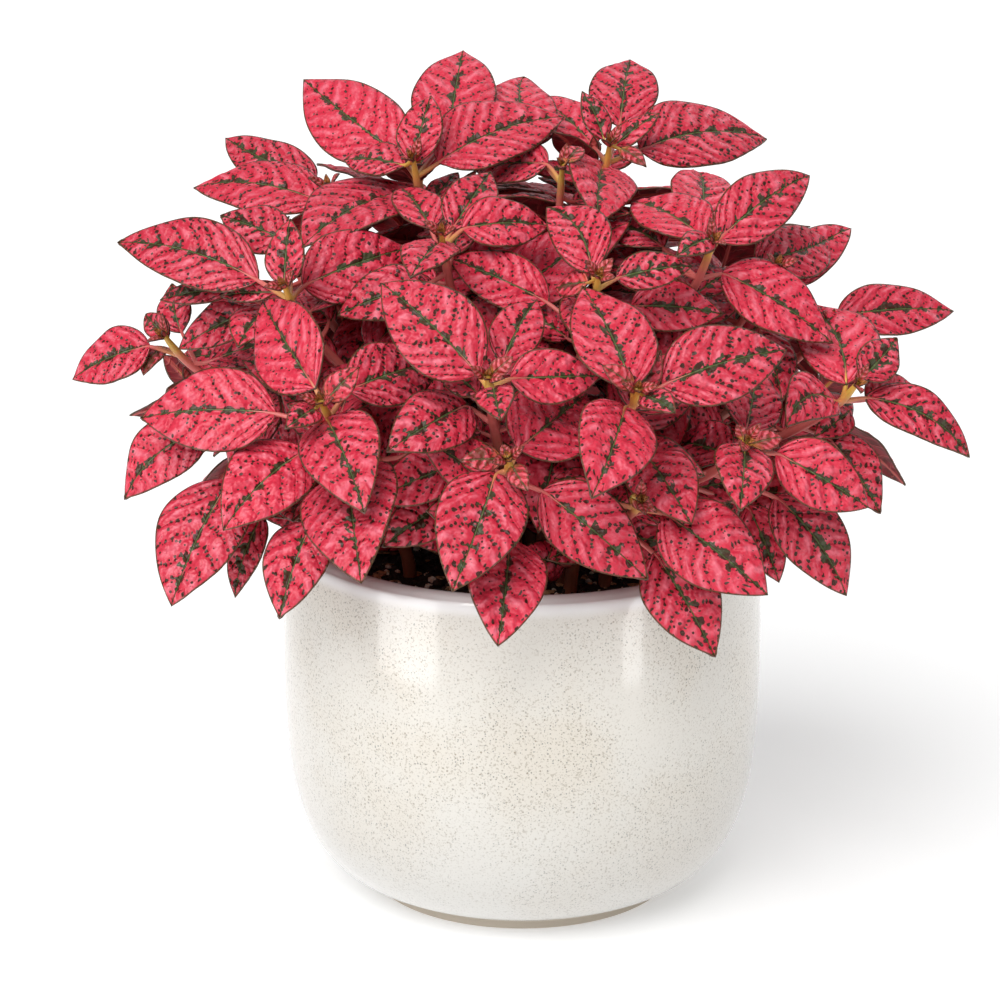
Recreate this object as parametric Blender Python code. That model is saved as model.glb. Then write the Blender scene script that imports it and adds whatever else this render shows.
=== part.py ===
"""A polka dot plant in a glazed pot.

The pot and its soil are turned about the upright axis. Each leafy stem is laid out as it looks from the
front: its crown and its leaves are points on a sheet that stands square to the line of sight, and each point
is carried back along that line to its depth in the plant. The leaves that nobody sees from there follow the
plant's own rule, a pair at each joint of the stem and each pair turned a quarter from the one below.
"""

import copy
import math
import random
from collections import namedtuple

import bmesh
import bpy
from mathutils import Matrix, Vector
from mathutils.bvhtree import BVHTree

MM = 0.001
SEED = 11

# The pot: its outside from the inner edge of the rim down to the middle of the foot, then its inside back up,
# as radius and height in mm.
POT_OUTSIDE = (
    (65.0, 112.6), (66.8, 114.5), (69.2, 115.0), (72.0, 114.0), (73.6, 111.4), (74.6, 97.0), (75.0, 74.0),
    (74.4, 52.0), (72.2, 33.0), (67.6, 18.6), (60.0, 8.8), (50.6, 3.6), (48.6, 2.4), (48.6, 0.0), (0.0, 0.0),
)
POT_INSIDE = (
    (0.0, 8.0), (48.0, 10.6), (61.0, 22.0), (67.4, 44.0), (68.4, 74.0), (67.2, 98.0),
)
POT_STEPS = 32

# The soil: the height of its top, then the mound on it as a share of the radius and a rise in mm.
SOIL_TOP = 105 * MM
SOIL_MOUND = ((0, 1.5), (0.36, 1.5), (0.7, 0.8), (0.94, -1.0))
SOIL_EDGE_MM = 101.5
SOIL_GAP_MM = 0.3
SOIL_RELIEF = 1.2 * MM
HOLE_RADIUS = 2.8 * MM
HOLE_FLOOR_GAP = 0.4 * MM

# A stem: its thickness, how deep it stands in the soil, and where along it the tube has a ring.
STEM_FOOT_RADIUS = 2.1 * MM
STEM_TIP_RADIUS = 1.0 * MM
STEM_SIDES = 4
STEM_DEPTH = 12 * MM
STEM_COLLAR = 2 * MM
STEM_STATIONS = (0.3, 0.6, 0.85)
STEM_RISE, STEM_ARRIVAL, STEM_UPTURN = 0.4, 0.3, 0.6
FOOT_SHARE, FOOT_DRAW_IN = 0.56, 0.36
BUD = 1.5 * MM

# A leaf: its stalk, its blade, and the ranges that its form is drawn from, as shares of its length or width.
STALK_RADIUS = 0.7 * MM
STALK_DEPTH = 1.6
BLADE_THICKNESS = 0.7 * MM
BOW = (0.05, 0.1)
SWAY = 0.02
FOLD = (0.1, 0.24)
CURL = (0.08, 0.16)
ROLL = 0.12
WIDEST_AT = 0.37
ROOT_FULLNESS, TIP_FULLNESS = 0.62, 1.06
SEEN_STATIONS = (0.12, 0.42, 0.76)
PLAIN_STATIONS = (0.16, 0.55)
SMALL_WIDTH = 10 * MM

# A blade's width is at most this share of its length, so one that looks broader is seen partly end on.
BROADEST = 0.62
LEAST_SHOWN = 0.7

# How clear the blades stay of one another, less for those narrower than this.
CLEARANCE = 1.1 * MM
BROAD_WIDTH = 14 * MM

# The eye that the sheet is drawn from, how far down it looks, the middle of the sheet, and how many of the
# sheet's units away it stands.
EYE = Vector((-6.9, -957.6, 414.5)) * MM
EYE_DOWN = 0.2952
SHEET_MIDDLE = 500
SHEET_AWAY = 3216.6

# The dome that the crowns of the stems make.
DOME_CENTRE = Vector((0, 0, 125)) * MM
DOME_RADII = Vector((118, 100, 110)) * MM

# For each joint of a stem, counted from the crown: how far below it sits in mm, how long its leaves grow in
# mm, and how far they spread from the stem in degrees. Then for hidden pairs: the first joint that has one,
# widths as shares of length, how high above the pot's foot they stay, and how long they get.
JOINTS = (0, 6, 14, 24, 36, 50)
LENGTHS = (13, 23, 36, 43, 46, 44)
SPREADS = (28, 52, 74, 88, 96, 102)
FIRST_HIDDEN_JOINT = 4
HIDDEN_WIDTHS = (0.54, 0.64)
HIDDEN_ABOVE = 134 * MM
LONGEST_HIDDEN = 50 * MM

# Each stem: its crown's place on the sheet, how far behind the dome that is in mm, and its hidden pairs, then
# its leaves: joint, root across and down, tip across and down, width in mm, how far back in mm, and for some
# how far the blade bends to the right on its way to the tip, in mm.
SHEET_STEMS = (
    ((414, 163), 10, 2, (
        (0, 414, 162, 431, 96, 13, 0), (0, 405, 165, 345, 160, 10, 3), (1, 402, 156, 304, 79, 24, 0, -0.8),
        (1, 438, 163, 563, 118, 21.5, 0, -2.4), (2, 418, 188, 303, 246, 25, 0, 2.5),
        (1, 447, 140, 463, 51, 25.5, 8, 1),
    )),
    ((609, 148), 8, 2, (
        (0, 604, 140, 582, 92, 8, 0), (0, 614, 145, 660, 112, 7, 0), (0, 620, 148, 646, 166, 5, 0),
        (1, 640, 150, 766, 139, 22.5, 0, -2.8), (1, 604, 166, 597, 224, 23, 0, 1.5),
        (1, 620, 126, 630, 60, 21.5, 6),
        (1, 594, 146, 536, 98, 16, 12),
    )),
    ((562, 170), 26, 1, (
        (1, 548, 163, 476, 170, 13.5, 0), (1, 532, 146, 524, 77, 22, 6, -1.5), (0, 566, 164, 580, 148, 6, 0),
    )),
    ((442, 236), 14, 1, (
        (1, 452, 228, 490, 172, 14.5, 0), (1, 462, 228, 548, 226, 15, 0), (1, 440, 243, 411, 277, 14.5, 0),
        (2, 428, 284, 338, 315, 15.5, 0), (2, 432, 230, 402, 190, 14, 6),
    )),
    ((598, 279), 9, 1, (
        (0, 597, 277, 613, 258, 4, 0), (0, 588, 282, 556, 288, 8, 4), (1, 592, 272, 547, 208, 17, 0, 2.2),
        (1, 616, 278, 692, 266, 11, 0), (3, 630, 306, 721, 314, 15, 0), (3, 592, 296, 590, 358, 20, 6),
        (3, 548, 302, 449, 258, 16, 0),
    )),
    ((712, 243), 4, 1, (
        (0, 713, 243, 711, 225, 3.5, 0), (0, 712, 238, 677, 256, 8.5, 0), (1, 702, 236, 632, 202, 17.5, 0),
        (1, 718, 240, 809, 176, 18.5, 0, -1.8), (2, 722, 272, 831, 342, 18.5, 0),
        (1, 702, 222, 698, 171, 20, 10),
        (2, 664, 247, 602, 228, 14, 10),
    )),
    ((775, 268), 14, 2, (
        (1, 757, 262, 828, 239, 18, 0, 1.2), (2, 786, 284, 852, 228, 14.5, 4, -0.9),
        (2, 760, 330, 782, 400, 14, 10),
    )),
    ((828, 322), 26, 2, (
        (1, 838, 316, 953, 311, 16.5, 0, -0.8),
    )),
    ((854, 386), 0, 1, (
        (0, 862, 378, 896, 339, 12.5, 0), (1, 838, 402, 787, 427, 15.5, 0, 3),
        (1, 866, 397, 969, 457, 14, 0, -3.6),
        (1, 845, 384, 800, 305, 21.5, 0, 2), (1, 866, 400, 912, 384, 12.5, 8),
        (3, 828, 436, 879, 512, 15.5, 0), (3, 850, 410, 814, 438, 10, 0),
    )),
    ((745, 442), 0, 1, (
        (0, 752, 444, 783, 437, 6.5, 0), (0, 744, 440, 737, 424, 3.5, 0), (1, 745, 445, 740, 510, 17, 0),
        (1, 776, 452, 868, 507, 18.5, 0), (2, 746, 432, 757, 368, 17.5, 0),
        (3, 776, 496, 846, 595, 19, 0, -1.6),
        (4, 748, 505, 779, 582, 13, 4), (3, 730, 456, 670, 446, 17.5, 2),
    )),
    ((637, 391), -3, 1, (
        (0, 640, 391, 662, 350, 7.5, 0), (0, 643, 395, 675, 413, 8, 0), (0, 633, 388, 602, 366, 6.5, 0),
        (1, 632, 388, 583, 290, 22, 0), (1, 662, 385, 786, 350, 22.5, 0), (1, 625, 406, 592, 497, 22.5, 0),
        (3, 645, 452, 692, 524, 19, 0),
    )),
    ((488, 379), -3, 1, (
        (0, 491, 376, 513, 357, 5, 0), (1, 478, 374, 382, 284, 24, 0), (1, 510, 378, 600, 376, 15.5, 0),
        (0, 493, 386, 501, 420, 11, 0), (3, 468, 404, 388, 451, 19, 0), (2, 503, 362, 537, 300, 14.5, 2),
    )),
    ((508, 459), -2, 1, (
        (0, 502, 458, 461, 460, 7, 0), (0, 512, 465, 528, 491, 6, 0), (0, 508, 458, 502, 444, 3, 0),
        (1, 496, 472, 453, 590, 24.5, 0), (1, 518, 449, 586, 394, 24.5, 0), (2, 542, 490, 646, 578, 21, 0),
        (3, 510, 540, 498, 645, 22, -6), (3, 462, 462, 372, 502, 15, 4), (4, 448, 502, 384, 546, 14.5, 4),
    )),
    ((322, 403), 0, 1, (
        (0, 327, 400, 359, 368, 8, 0), (0, 316, 408, 286, 428, 8.5, 0), (0, 320, 400, 337, 370, 6.5, 3),
        (1, 315, 388, 264, 302, 23, 0), (1, 326, 418, 364, 512, 23, 0, -0.9), (1, 348, 390, 434, 364, 20, 4),
        (2, 276, 413, 143, 418, 24, 0), (3, 346, 470, 361, 582, 28, -4, -1.5),
        (3, 306, 450, 224, 530, 22.5, 0, 1.2), (3, 312, 522, 280, 617, 18, 0, 0.8),
    )),
    ((286, 289), 0, 1, (
        (0, 284, 285, 290, 219, 11, 0), (1, 258, 280, 120, 243, 20.5, 0, 2.7),
        (1, 302, 284, 407, 247, 20.5, 0),
        (2, 264, 301, 175, 347, 13, 0), (2, 268, 304, 236, 345, 12.5, 0), (1, 274, 292, 220, 296, 6, 4),
        (1, 290, 242, 222, 216, 15, 10), (3, 330, 320, 300, 288, 13.5, 2), (2, 232, 290, 160, 300, 7.5, 4),
    )),
    ((167, 338), 0, 0, (
        (0, 168, 337, 146, 314, 7.5, 0), (1, 163, 345, 141, 374, 6, 0, 1),
        (1, 150, 345, 73, 379, 16.5, 0, 1.2),
        (2, 181, 332, 172, 285, 11, 4), (3, 236, 360, 178, 359, 10, 2),
    )),
    ((330, 190), 22, 2, (
        (1, 322, 202, 195, 188, 18.5, 0, 1.6), (1, 316, 180, 226, 138, 15.5, 6, -2.7),
    )),
    ((240, 440), 12, 1, (
        (1, 230, 480, 172, 605, 24, 0, 0.8), (1, 206, 430, 126, 498, 17.5, 0, 3),
        (2, 262, 515, 235, 597, 10, 4, 0.8),
    )),
    ((640, 500), 6, 0, (
        (0, 630, 496, 656, 512, 4.5, 0), (1, 663, 512, 767, 594, 23.5, 0), (3, 655, 553, 714, 655, 21, -8),
        (1, 600, 500, 554, 478, 11.5, 6),
    )),
)

# The stems behind: which way round from the right-hand side and how high each crown stands, in degrees.
BACK_STEMS = (
    (31, 12), (56, 14), (88, 10), (122, 14), (155, 12),
    (38, 42), (74, 44), (112, 42), (146, 40), (66, 62), (124, 60),
)
BACK_JOINTS = 4

# How far in mm a leaf is moved along the line of sight, and by which share at its root, to stand clear.
SHIFTS = (3, -2, 6, 9, -4, 12, 15, -7, 18, 22, -10, 26, 30)
ROOT_SHARES = (1.0, 0.4, 0.0)
EXTRA_ROLL = 0.25
SWINGS = (0.15, 0.3, 0.45, 0.6)
ROOT_SWING = 0.1

Thing = namedtuple("Thing", "owner tree is_stem centre reach")


def clear_scene():
    for thing in list(bpy.data.objects):
        bpy.data.objects.remove(thing)


def material(name, colour, roughness):
    made = bpy.data.materials.new(name)
    made.use_nodes = True
    shader = made.node_tree.nodes["Principled BSDF"]
    shader.inputs["Base Color"].default_value = (*colour, 1)
    shader.inputs["Roughness"].default_value = roughness
    return made


def add_object(name, mesh, paint):
    made = bpy.data.objects.new(name, mesh)
    bpy.context.scene.collection.objects.link(made)
    mesh.materials.append(paint)
    return made


def mesh_of(name, points, faces):
    mesh = bpy.data.meshes.new(name)
    mesh.from_pydata([tuple(p) for p in points], [], faces)
    work = bmesh.new()
    work.from_mesh(mesh)
    bmesh.ops.recalc_face_normals(work, faces=work.faces)
    work.to_mesh(mesh)
    work.free()
    return mesh


def turned(name, profile, steps):
    """The closed mesh that a profile of (radius, height) in mm makes when it goes round the upright axis."""
    points, faces, rows = [], [], []
    for radius, height in profile:
        if radius == 0:
            rows.append([len(points)] * steps)
            points.append(Vector((0, 0, height)) * MM)
            continue
        rows.append(list(range(len(points), len(points) + steps)))
        for i in range(steps):
            a = 2 * math.pi * i / steps
            points.append(Vector((radius * math.cos(a), radius * math.sin(a), height)) * MM)
    for upper, lower in zip(rows, rows[1:] + rows[:1]):
        for i in range(steps):
            j = (i + 1) % steps
            ring = [upper[i], lower[i], lower[j], upper[j]]
            corners = [c for k, c in enumerate(ring) if c not in ring[:k]]
            if len(corners) > 2:
                faces.append(corners)
    return mesh_of(name, points, faces)


def sheet_ray(across, down):
    """The line of sight through a point of the sheet."""
    right = Vector((1, 0, 0))
    ahead = Vector((0, math.cos(EYE_DOWN), -math.sin(EYE_DOWN)))
    ray = ahead * SHEET_AWAY + right * (across - SHEET_MIDDLE) + right.cross(ahead) * (SHEET_MIDDLE - down)
    return ray.normalized()


AHEAD = sheet_ray(SHEET_MIDDLE, SHEET_MIDDLE)


def at_depth(point, depth):
    ray = sheet_ray(*point)
    return EYE + ray * ((depth - EYE.y) / ray.y)


def on_plane(point, through, normal):
    ray = sheet_ray(*point)
    return EYE + ray * ((through - EYE).dot(normal) / ray.dot(normal))


def on_dome(point):
    """Where the line of sight meets the dome, or passes nearest to it."""
    ray = sheet_ray(*point)
    start = Vector([(a - b) / c for a, b, c in zip(EYE, DOME_CENTRE, DOME_RADII)])
    step = Vector([a / b for a, b in zip(ray, DOME_RADII)])
    half, square = start.dot(step), step.dot(step)
    inside = half * half - square * (start.dot(start) - 1)
    return EYE + ray * ((-half - math.sqrt(max(0, inside))) / square)


def dome_normal(place):
    return Vector([(a - b) / c**2 for a, b, c in zip(place, DOME_CENTRE, DOME_RADII)]).normalized()


def bezier(points, t):
    a, b, c, d = points
    return a * (1 - t) ** 3 + b * 3 * t * (1 - t) ** 2 + c * 3 * t * t * (1 - t) + d * t**3


def foot_of(crown):
    """Where a stem leaves the soil: the lower its crown hangs, the nearer the rim it grows."""
    high = (crown.z - SOIL_TOP) / (DOME_CENTRE.z + DOME_RADII.z - SOIL_TOP)
    share = FOOT_SHARE - FOOT_DRAW_IN * high
    return Vector((crown.x * share, crown.y * share, SOIL_TOP))


class Stem:
    """A stem from its foot in the soil to its crown, which faces the way the leaves there do."""

    def __init__(self, crown, facing):
        self.crown, self.facing, self.foot, self.leaves = crown, facing, foot_of(crown), []
        up = Vector((0, 0, 1))
        reach = (crown - self.foot).length
        arrival = (facing + up * STEM_UPTURN).normalized() * reach * STEM_ARRIVAL
        guide = (self.foot, self.foot + up * reach * STEM_RISE, crown - arrival, crown)
        self.marks = [self.foot - up * STEM_DEPTH, self.foot + up * STEM_COLLAR]
        self.marks += [bezier(guide, t) for t in STEM_STATIONS] + [crown + facing * BUD]

    def joint(self, below):
        """The point this far below the crown along the stem."""
        left = below + BUD
        for upper, lower in zip(self.marks[::-1], self.marks[-2::-1]):
            step = (upper - lower).length
            if left <= step:
                return upper.lerp(lower, left / step)
            left -= step
        return self.marks[1]

    def rings(self):
        """Centres and radii of the tube, thinner from the soil to the bud."""
        thinner = (STEM_TIP_RADIUS - STEM_FOOT_RADIUS) / (len(self.marks) - 2)
        return [(mark, STEM_FOOT_RADIUS + thinner * max(0, i - 1)) for i, mark in enumerate(self.marks)]


class Leaf:
    """A leaf: joint on the stem, root and tip of the blade, the way its upper face looks, and its width."""

    def __init__(self, joint, root, tip, facing, width, rng, seen):
        self.joint, self.root, self.tip = joint, root, tip
        self.facing, self.width, self.seen = facing, width, seen
        self.bow = rng.uniform(*BOW)
        self.sway = rng.uniform(-SWAY, SWAY)
        self.fold = rng.uniform(*FOLD)
        self.curl = rng.uniform(*CURL)
        self.roll = rng.uniform(-ROLL, ROLL)

    def moved(self, root_by, tip_by, roll=0.0):
        other = copy.copy(self)
        other.root, other.tip = self.root + root_by, self.tip + tip_by
        if not self.seen:
            other.tip = other.root.lerp(other.tip, min(1, LONGEST_HIDDEN / other.length()))
        other.roll = self.roll + roll
        return other

    def length(self):
        return (self.tip - self.root).length

    def frame(self):
        """The way from root to tip, the way to the left margin and the way up from the blade."""
        ahead = (self.tip - self.root).normalized()
        face = (self.facing - ahead * self.facing.dot(ahead)).normalized()
        face = Matrix.Rotation(self.roll, 3, ahead) @ face
        return ahead, ahead.cross(face), face

    def point(self, s, t):
        """A point of the upper face: s runs from root to tip, t from one margin to the other."""
        _, side, face = self.frame()
        half = self.width / 2 * outline(s)
        arch = self.length() * 4 * s * (1 - s)
        rise = self.bow * arch + half * (self.fold * abs(t) - self.curl * t * t)
        return self.root.lerp(self.tip, s) + face * rise + side * (half * t + self.sway * arch)


def outline(s):
    """Half the blade's width at s as a share of its widest: round near the root, drawn out at the tip."""
    if not 0 < s < 1:
        return 0.0
    return (s / WIDEST_AT) ** ROOT_FULLNESS * ((1 - s) / (1 - WIDEST_AT)) ** TIP_FULLNESS


def stalk_corners(centre, way, side, face):
    """A three-sided section of the stalk, flat side up and square to the way it runs."""
    wide = side - way * side.dot(way)
    wide = (wide if wide.length > 0.3 else way.cross(face)).normalized()
    return [centre - wide * STALK_RADIUS, centre + wide * STALK_RADIUS,
            centre - wide.cross(way) * STALK_RADIUS * STALK_DEPTH]


def leaf_mesh(leaf, thickness):
    """The leaf as triangles: a three-sided stalk, rows of three points above and three below, and the tip."""
    _, side, face = leaf.frame()
    detailed = leaf.seen and leaf.width > SMALL_WIDTH
    middle = leaf.root.lerp(leaf.point(0.1, 0), 0.5)
    start = (middle - leaf.joint).normalized()
    turn = (start + side.cross(-face)).normalized()
    points = stalk_corners(leaf.joint - start * STALK_RADIUS, start, side, face)
    points += stalk_corners(leaf.root, turn, side, face)
    for s in SEEN_STATIONS if detailed else PLAIN_STATIONS:
        row = [leaf.point(s, t) for t in (-1, 0, 1)]
        points += row + [p - face * thickness for p in row]
    last = len(points) - 6
    top = last + 6
    points += [leaf.tip, leaf.tip - face * thickness]
    faces = [(0, 1, 2)]
    for i, j in ((0, 1), (1, 2), (2, 0)):
        faces += [(i, 3 + i, 3 + j), (i, 3 + j, j)]
    faces += [(3, 6, 7), (3, 7, 4), (4, 7, 8), (3, 9, 6), (3, 5, 9)]
    faces += [(5, 10, 9), (5, 11, 10), (5, 4, 11), (4, 8, 11)]
    for a in range(6, last, 6):
        b = a + 6
        for i in (0, 1):
            faces += [(a + i, b + i, b + i + 1), (a + i, b + i + 1, a + i + 1)]
            faces += [(a + 3 + i, b + 4 + i, b + 3 + i), (a + 3 + i, a + 4 + i, b + 4 + i)]
        for i in (0, 2):
            faces += [(a + i, a + 3 + i, b + 3 + i), (a + i, b + 3 + i, b + i)]
    for i in (0, 1):
        faces += [(last + i, top, last + i + 1), (last + 3 + i, last + 4 + i, top + 1)]
    for i in (0, 2):
        faces += [(last + i, last + 3 + i, top + 1), (last + i, top + 1, top)]
    return points, faces


def tube(rings):
    """Points and faces of a closed tube with square corners through rings of (centre, radius)."""
    points, faces = [], []
    for k, (centre, radius) in enumerate(rings):
        before, after = rings[max(k - 1, 0)][0], rings[min(k + 1, len(rings) - 1)][0]
        ahead = (after - before).normalized()
        one = ahead.cross(Vector((0.1, 1, 0.05))).normalized()
        two = ahead.cross(one)
        points += [centre + one * radius, centre + two * radius, centre - one * radius, centre - two * radius]
    for a in range(0, len(points) - STEM_SIDES, STEM_SIDES):
        b = a + STEM_SIDES
        for i in range(STEM_SIDES):
            j = (i + 1) % STEM_SIDES
            faces += [(a + i, b + i, b + j), (a + i, b + j, a + j)]
    faces.append(tuple(range(STEM_SIDES)))
    faces.append(tuple(range(len(points) - STEM_SIDES, len(points))))
    return points, faces


def sheet_leaf(stem, row, rng):
    """The leaf that a row of the table describes, on a plane through its joint, facing as the crown does."""
    joint, root_across, root_down, tip_across, tip_down, width, back, *bend = row
    start = stem.joint(JOINTS[joint] * MM)
    flat = stem.facing if joint else (stem.facing - AHEAD * 0.5).normalized()
    away = sheet_ray(tip_across, tip_down)
    root = on_plane((root_across, root_down), start, flat) + away * back * MM
    tip = on_plane((tip_across, tip_down), start, flat) + away * back * MM
    tip += away * (tip - root).length * (0.14 if joint else -0.25)
    leaf = Leaf(start, root, tip, stem.facing, width * MM, rng, True)
    leaf.sway += sum(bend) * MM / leaf.length()
    side = leaf.frame()[1]
    leaf.width /= max((side - away * side.dot(away)).length, LEAST_SHOWN)
    short = (leaf.width / BROADEST) ** 2 - leaf.length() ** 2
    if short > 0:
        leaf.tip += away * math.sqrt(short) * (-1 if tip_down > root_down + 10 else 1)
    return leaf


def sheet_stems(rng):
    """The stems that show from the front, with the leaves that show on them and the pairs hidden below."""
    made = []
    for place, behind, hidden, rows in SHEET_STEMS:
        on = on_dome(place)
        facing = (dome_normal(on) * 0.55 - AHEAD * 0.7 + Vector((0, 0, 0.2))).normalized()
        stem = Stem(at_depth(place, on.y + behind * MM), facing)
        stem.leaves = [sheet_leaf(stem, row, rng) for row in rows]
        pairs = ruled_pairs(stem, range(FIRST_HIDDEN_JOINT, FIRST_HIDDEN_JOINT + hidden), rng)
        stem.leaves += [leaf for leaf in pairs if leaf.tip.z > HIDDEN_ABOVE]
        made.append(stem)
    return made


def ruled_pairs(stem, joints, rng):
    """Pairs of leaves at these joints, each pair a quarter turn from the last."""
    made = []
    turn = rng.uniform(0, math.pi)
    for joint in joints:
        start = stem.joint(JOINTS[joint] * MM)
        upper = stem.joint(JOINTS[joint - 1] * MM) if joint else stem.crown + stem.facing * BUD
        ahead = ((upper - start).normalized() + stem.facing * 0.5).normalized()
        one = ahead.cross(Vector((0.2, 0.1, 1))).normalized()
        for half in (0, math.pi):
            a = turn + joint * math.pi / 2 + half + rng.uniform(-0.25, 0.25)
            out = one * math.cos(a) + ahead.cross(one) * math.sin(a)
            lean = math.radians(SPREADS[joint] + rng.uniform(-8, 8))
            way = ahead * math.cos(lean) + out * math.sin(lean) - Vector((0, 0, 0.05 * joint))
            way.normalize()
            long = LENGTHS[joint] * rng.uniform(0.85, 1.1) * MM
            root = start + way * (2 + 2 * joint) * MM
            width = long * rng.uniform(*HIDDEN_WIDTHS)
            made.append(Leaf(start, root, root + way * long, ahead, width, rng, False))
    return made


def back_stems(rng):
    made = []
    for around, high in BACK_STEMS:
        a, b = math.radians(around), math.radians(high)
        out = Vector((math.cos(a) * math.cos(b), math.sin(a) * math.cos(b), math.sin(b)))
        crown = DOME_CENTRE + Vector([p * q for p, q in zip(out, DOME_RADII)])
        stem = Stem(crown, (dome_normal(crown) + Vector((0, 0, 0.45))).normalized())
        stem.leaves = ruled_pairs(stem, range(BACK_JOINTS), rng)
        made.append(stem)
    return made


def tree_of(points, faces):
    return BVHTree.FromPolygons([tuple(p) for p in points], faces)


def tries(leaf):
    """The leaf as it is, then moved more and more: along the line of sight where it shows, else any way."""
    yield leaf
    if leaf.seen:
        for shift in SHIFTS:
            step = AHEAD * shift * MM
            for share in ROOT_SHARES:
                yield leaf.moved(step * share, step)
            for roll in (EXTRA_ROLL, -EXTRA_ROLL):
                yield leaf.moved(step, step, roll)
        return
    _, side, face = leaf.frame()
    for swing in SWINGS:
        for way in (face, -face, side, -side, face + side, face - side, side - face, -face - side):
            step = way * leaf.length() * swing
            yield leaf.moved(step * ROOT_SWING, step)


def fat_tree(leaf, clip, clear):
    """The search tree of the leaf with this clearance all round, its stalk starting this share of its way."""
    short = leaf.moved(Vector(), Vector())
    short.joint = leaf.joint.lerp(leaf.root, clip)
    points, faces = leaf_mesh(short, BLADE_THICKNESS + 2 * clear)
    lift = leaf.frame()[2] * clear
    return tree_of([p + lift if k > 5 else p for k, p in enumerate(points)], faces)


def stands_clear(leaf, owner, centre, reach, placed):
    clear = CLEARANCE * min(1, leaf.width / BROAD_WIDTH)
    whole, clipped = fat_tree(leaf, 0, clear), fat_tree(leaf, 0.45, clear * 0.3)
    for thing in placed:
        if thing.owner == owner and thing.is_stem:
            continue
        if thing.centre and (thing.centre - centre).length > thing.reach + reach:
            continue
        if (clipped if thing.owner == owner else whole).overlap(thing.tree):
            return False
    return True


def settle(stems, solids):
    """Gives each leaf the first try that stands clear of all before it, and leaves out one that has none."""
    placed = [Thing(None, tree, False, None, 0) for tree in solids]
    placed += [Thing(stem, tree_of(*tube(stem.rings())), True, None, 0) for stem in stems]
    queue = [(stem, leaf) for stem in stems for leaf in stem.leaves]
    queue.sort(key=lambda pair: (not pair[1].seen, pair[1].seen and pair[1].width < SMALL_WIDTH,
                                 (pair[1].root + pair[1].tip - EYE * 2).length if pair[1].seen else 0))
    for stem in stems:
        stem.leaves = []
    for stem, leaf in queue:
        for trial in tries(leaf):
            centre, reach = (trial.root + trial.tip) / 2, (trial.tip - trial.joint).length * 0.62
            if stands_clear(trial, stem, centre, reach, placed):
                placed.append(Thing(stem, tree_of(*leaf_mesh(trial, BLADE_THICKNESS)), False, centre, reach))
                stem.leaves.append(trial)
                break


def build_pot():
    glaze = material("glaze", (0.75, 0.72, 0.66), 0.2)
    return add_object("pot", turned("pot", POT_OUTSIDE + POT_INSIDE, POT_STEPS), glaze)


def soil_mesh():
    """The soil: it fills the pot, and its top is a low uneven mound."""
    side = [(max(0, r - SOIL_GAP_MM), h + SOIL_GAP_MM) for r, h in POT_INSIDE]
    (low_r, low_h), (high_r, high_h) = POT_INSIDE[-1], POT_OUTSIDE[0]
    edge = low_r + (high_r - low_r) * (SOIL_EDGE_MM - low_h) / (high_h - low_h) - SOIL_GAP_MM
    mound = [(edge * share, SOIL_TOP / MM + rise) for share, rise in SOIL_MOUND]
    mesh = turned("soil", mound + [(edge, SOIL_EDGE_MM)] + side[::-1], POT_STEPS // 2)
    rng = random.Random(SEED)
    for vertex in mesh.vertices:
        if vertex.co.z > (SOIL_EDGE_MM + 0.5) * MM:
            vertex.co.z += rng.uniform(-1, 1) * SOIL_RELIEF
    return mesh


def build_soil(stems):
    soil = add_object("soil", soil_mesh(), material("soil", (0.03, 0.02, 0.015), 0.95))
    up = Vector((0, 0, 1))
    holes = [tube([(stem.foot - up * (STEM_DEPTH + HOLE_FLOOR_GAP), HOLE_RADIUS),
                   (stem.foot + up * STEM_DEPTH, HOLE_RADIUS)]) for stem in stems]
    fuse(soil, holes, "DIFFERENCE")


def build_stem(name, stem, paint):
    made = add_object(name, mesh_of(name, *tube(stem.rings())), paint)
    fuse(made, [leaf_mesh(leaf, BLADE_THICKNESS) for leaf in stem.leaves], "UNION")


def fuse(base, shapes, operation):
    """Joins the shapes to the base, or cuts them out of it, for good."""
    tools = bpy.data.collections.new(base.name + " tools")
    bpy.context.scene.collection.children.link(tools)
    for points, faces in shapes:
        tool = bpy.data.objects.new("tool", mesh_of("tool", points, faces))
        tool.hide_render, tool.display_type = True, "WIRE"
        tools.objects.link(tool)
    boolean = base.modifiers.new("fuse", "BOOLEAN")
    boolean.operation, boolean.operand_type = operation, "COLLECTION"
    boolean.collection, boolean.solver = tools, "MANIFOLD"
    bpy.context.view_layer.update()
    done = bpy.data.meshes.new_from_object(base.evaluated_get(bpy.context.evaluated_depsgraph_get()))
    base.modifiers.clear()
    base.data = done
    keep_largest(done)
    for tool in list(tools.objects):
        bpy.data.objects.remove(tool)
    bpy.data.collections.remove(tools)


def keep_largest(mesh):
    """Drops the loose scraps and fills the sealed hollows that a Boolean can leave."""
    work = bmesh.new()
    work.from_mesh(mesh)
    left, bodies = set(work.verts), []
    while left:
        body, front = set(), [left.pop()]
        while front:
            vertex = front.pop()
            body.add(vertex)
            near = [edge.other_vert(vertex) for edge in vertex.link_edges]
            front += [other for other in near if other in left]
            left.difference_update(near)
        bodies.append(body)
    largest = max(bodies, key=len)
    bmesh.ops.delete(work, geom=[v for v in work.verts if v not in largest], context="VERTS")
    work.to_mesh(mesh)
    work.free()


def main():
    clear_scene()
    pot = build_pot()
    rng = random.Random(SEED)
    stems = sheet_stems(rng) + back_stems(rng)
    ground = [tree_of([v.co for v in mesh.vertices], [tuple(p.vertices) for p in mesh.polygons])
              for mesh in (pot.data, soil_mesh())]
    settle(stems, ground)
    build_soil(stems)
    paint = material("leaf", (0.62, 0.08, 0.13), 0.45)
    for number, stem in enumerate(stems, 1):
        build_stem(f"leafy_stem_{number:02d}", stem, paint)


if __name__ == "__main__":
    main()
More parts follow.
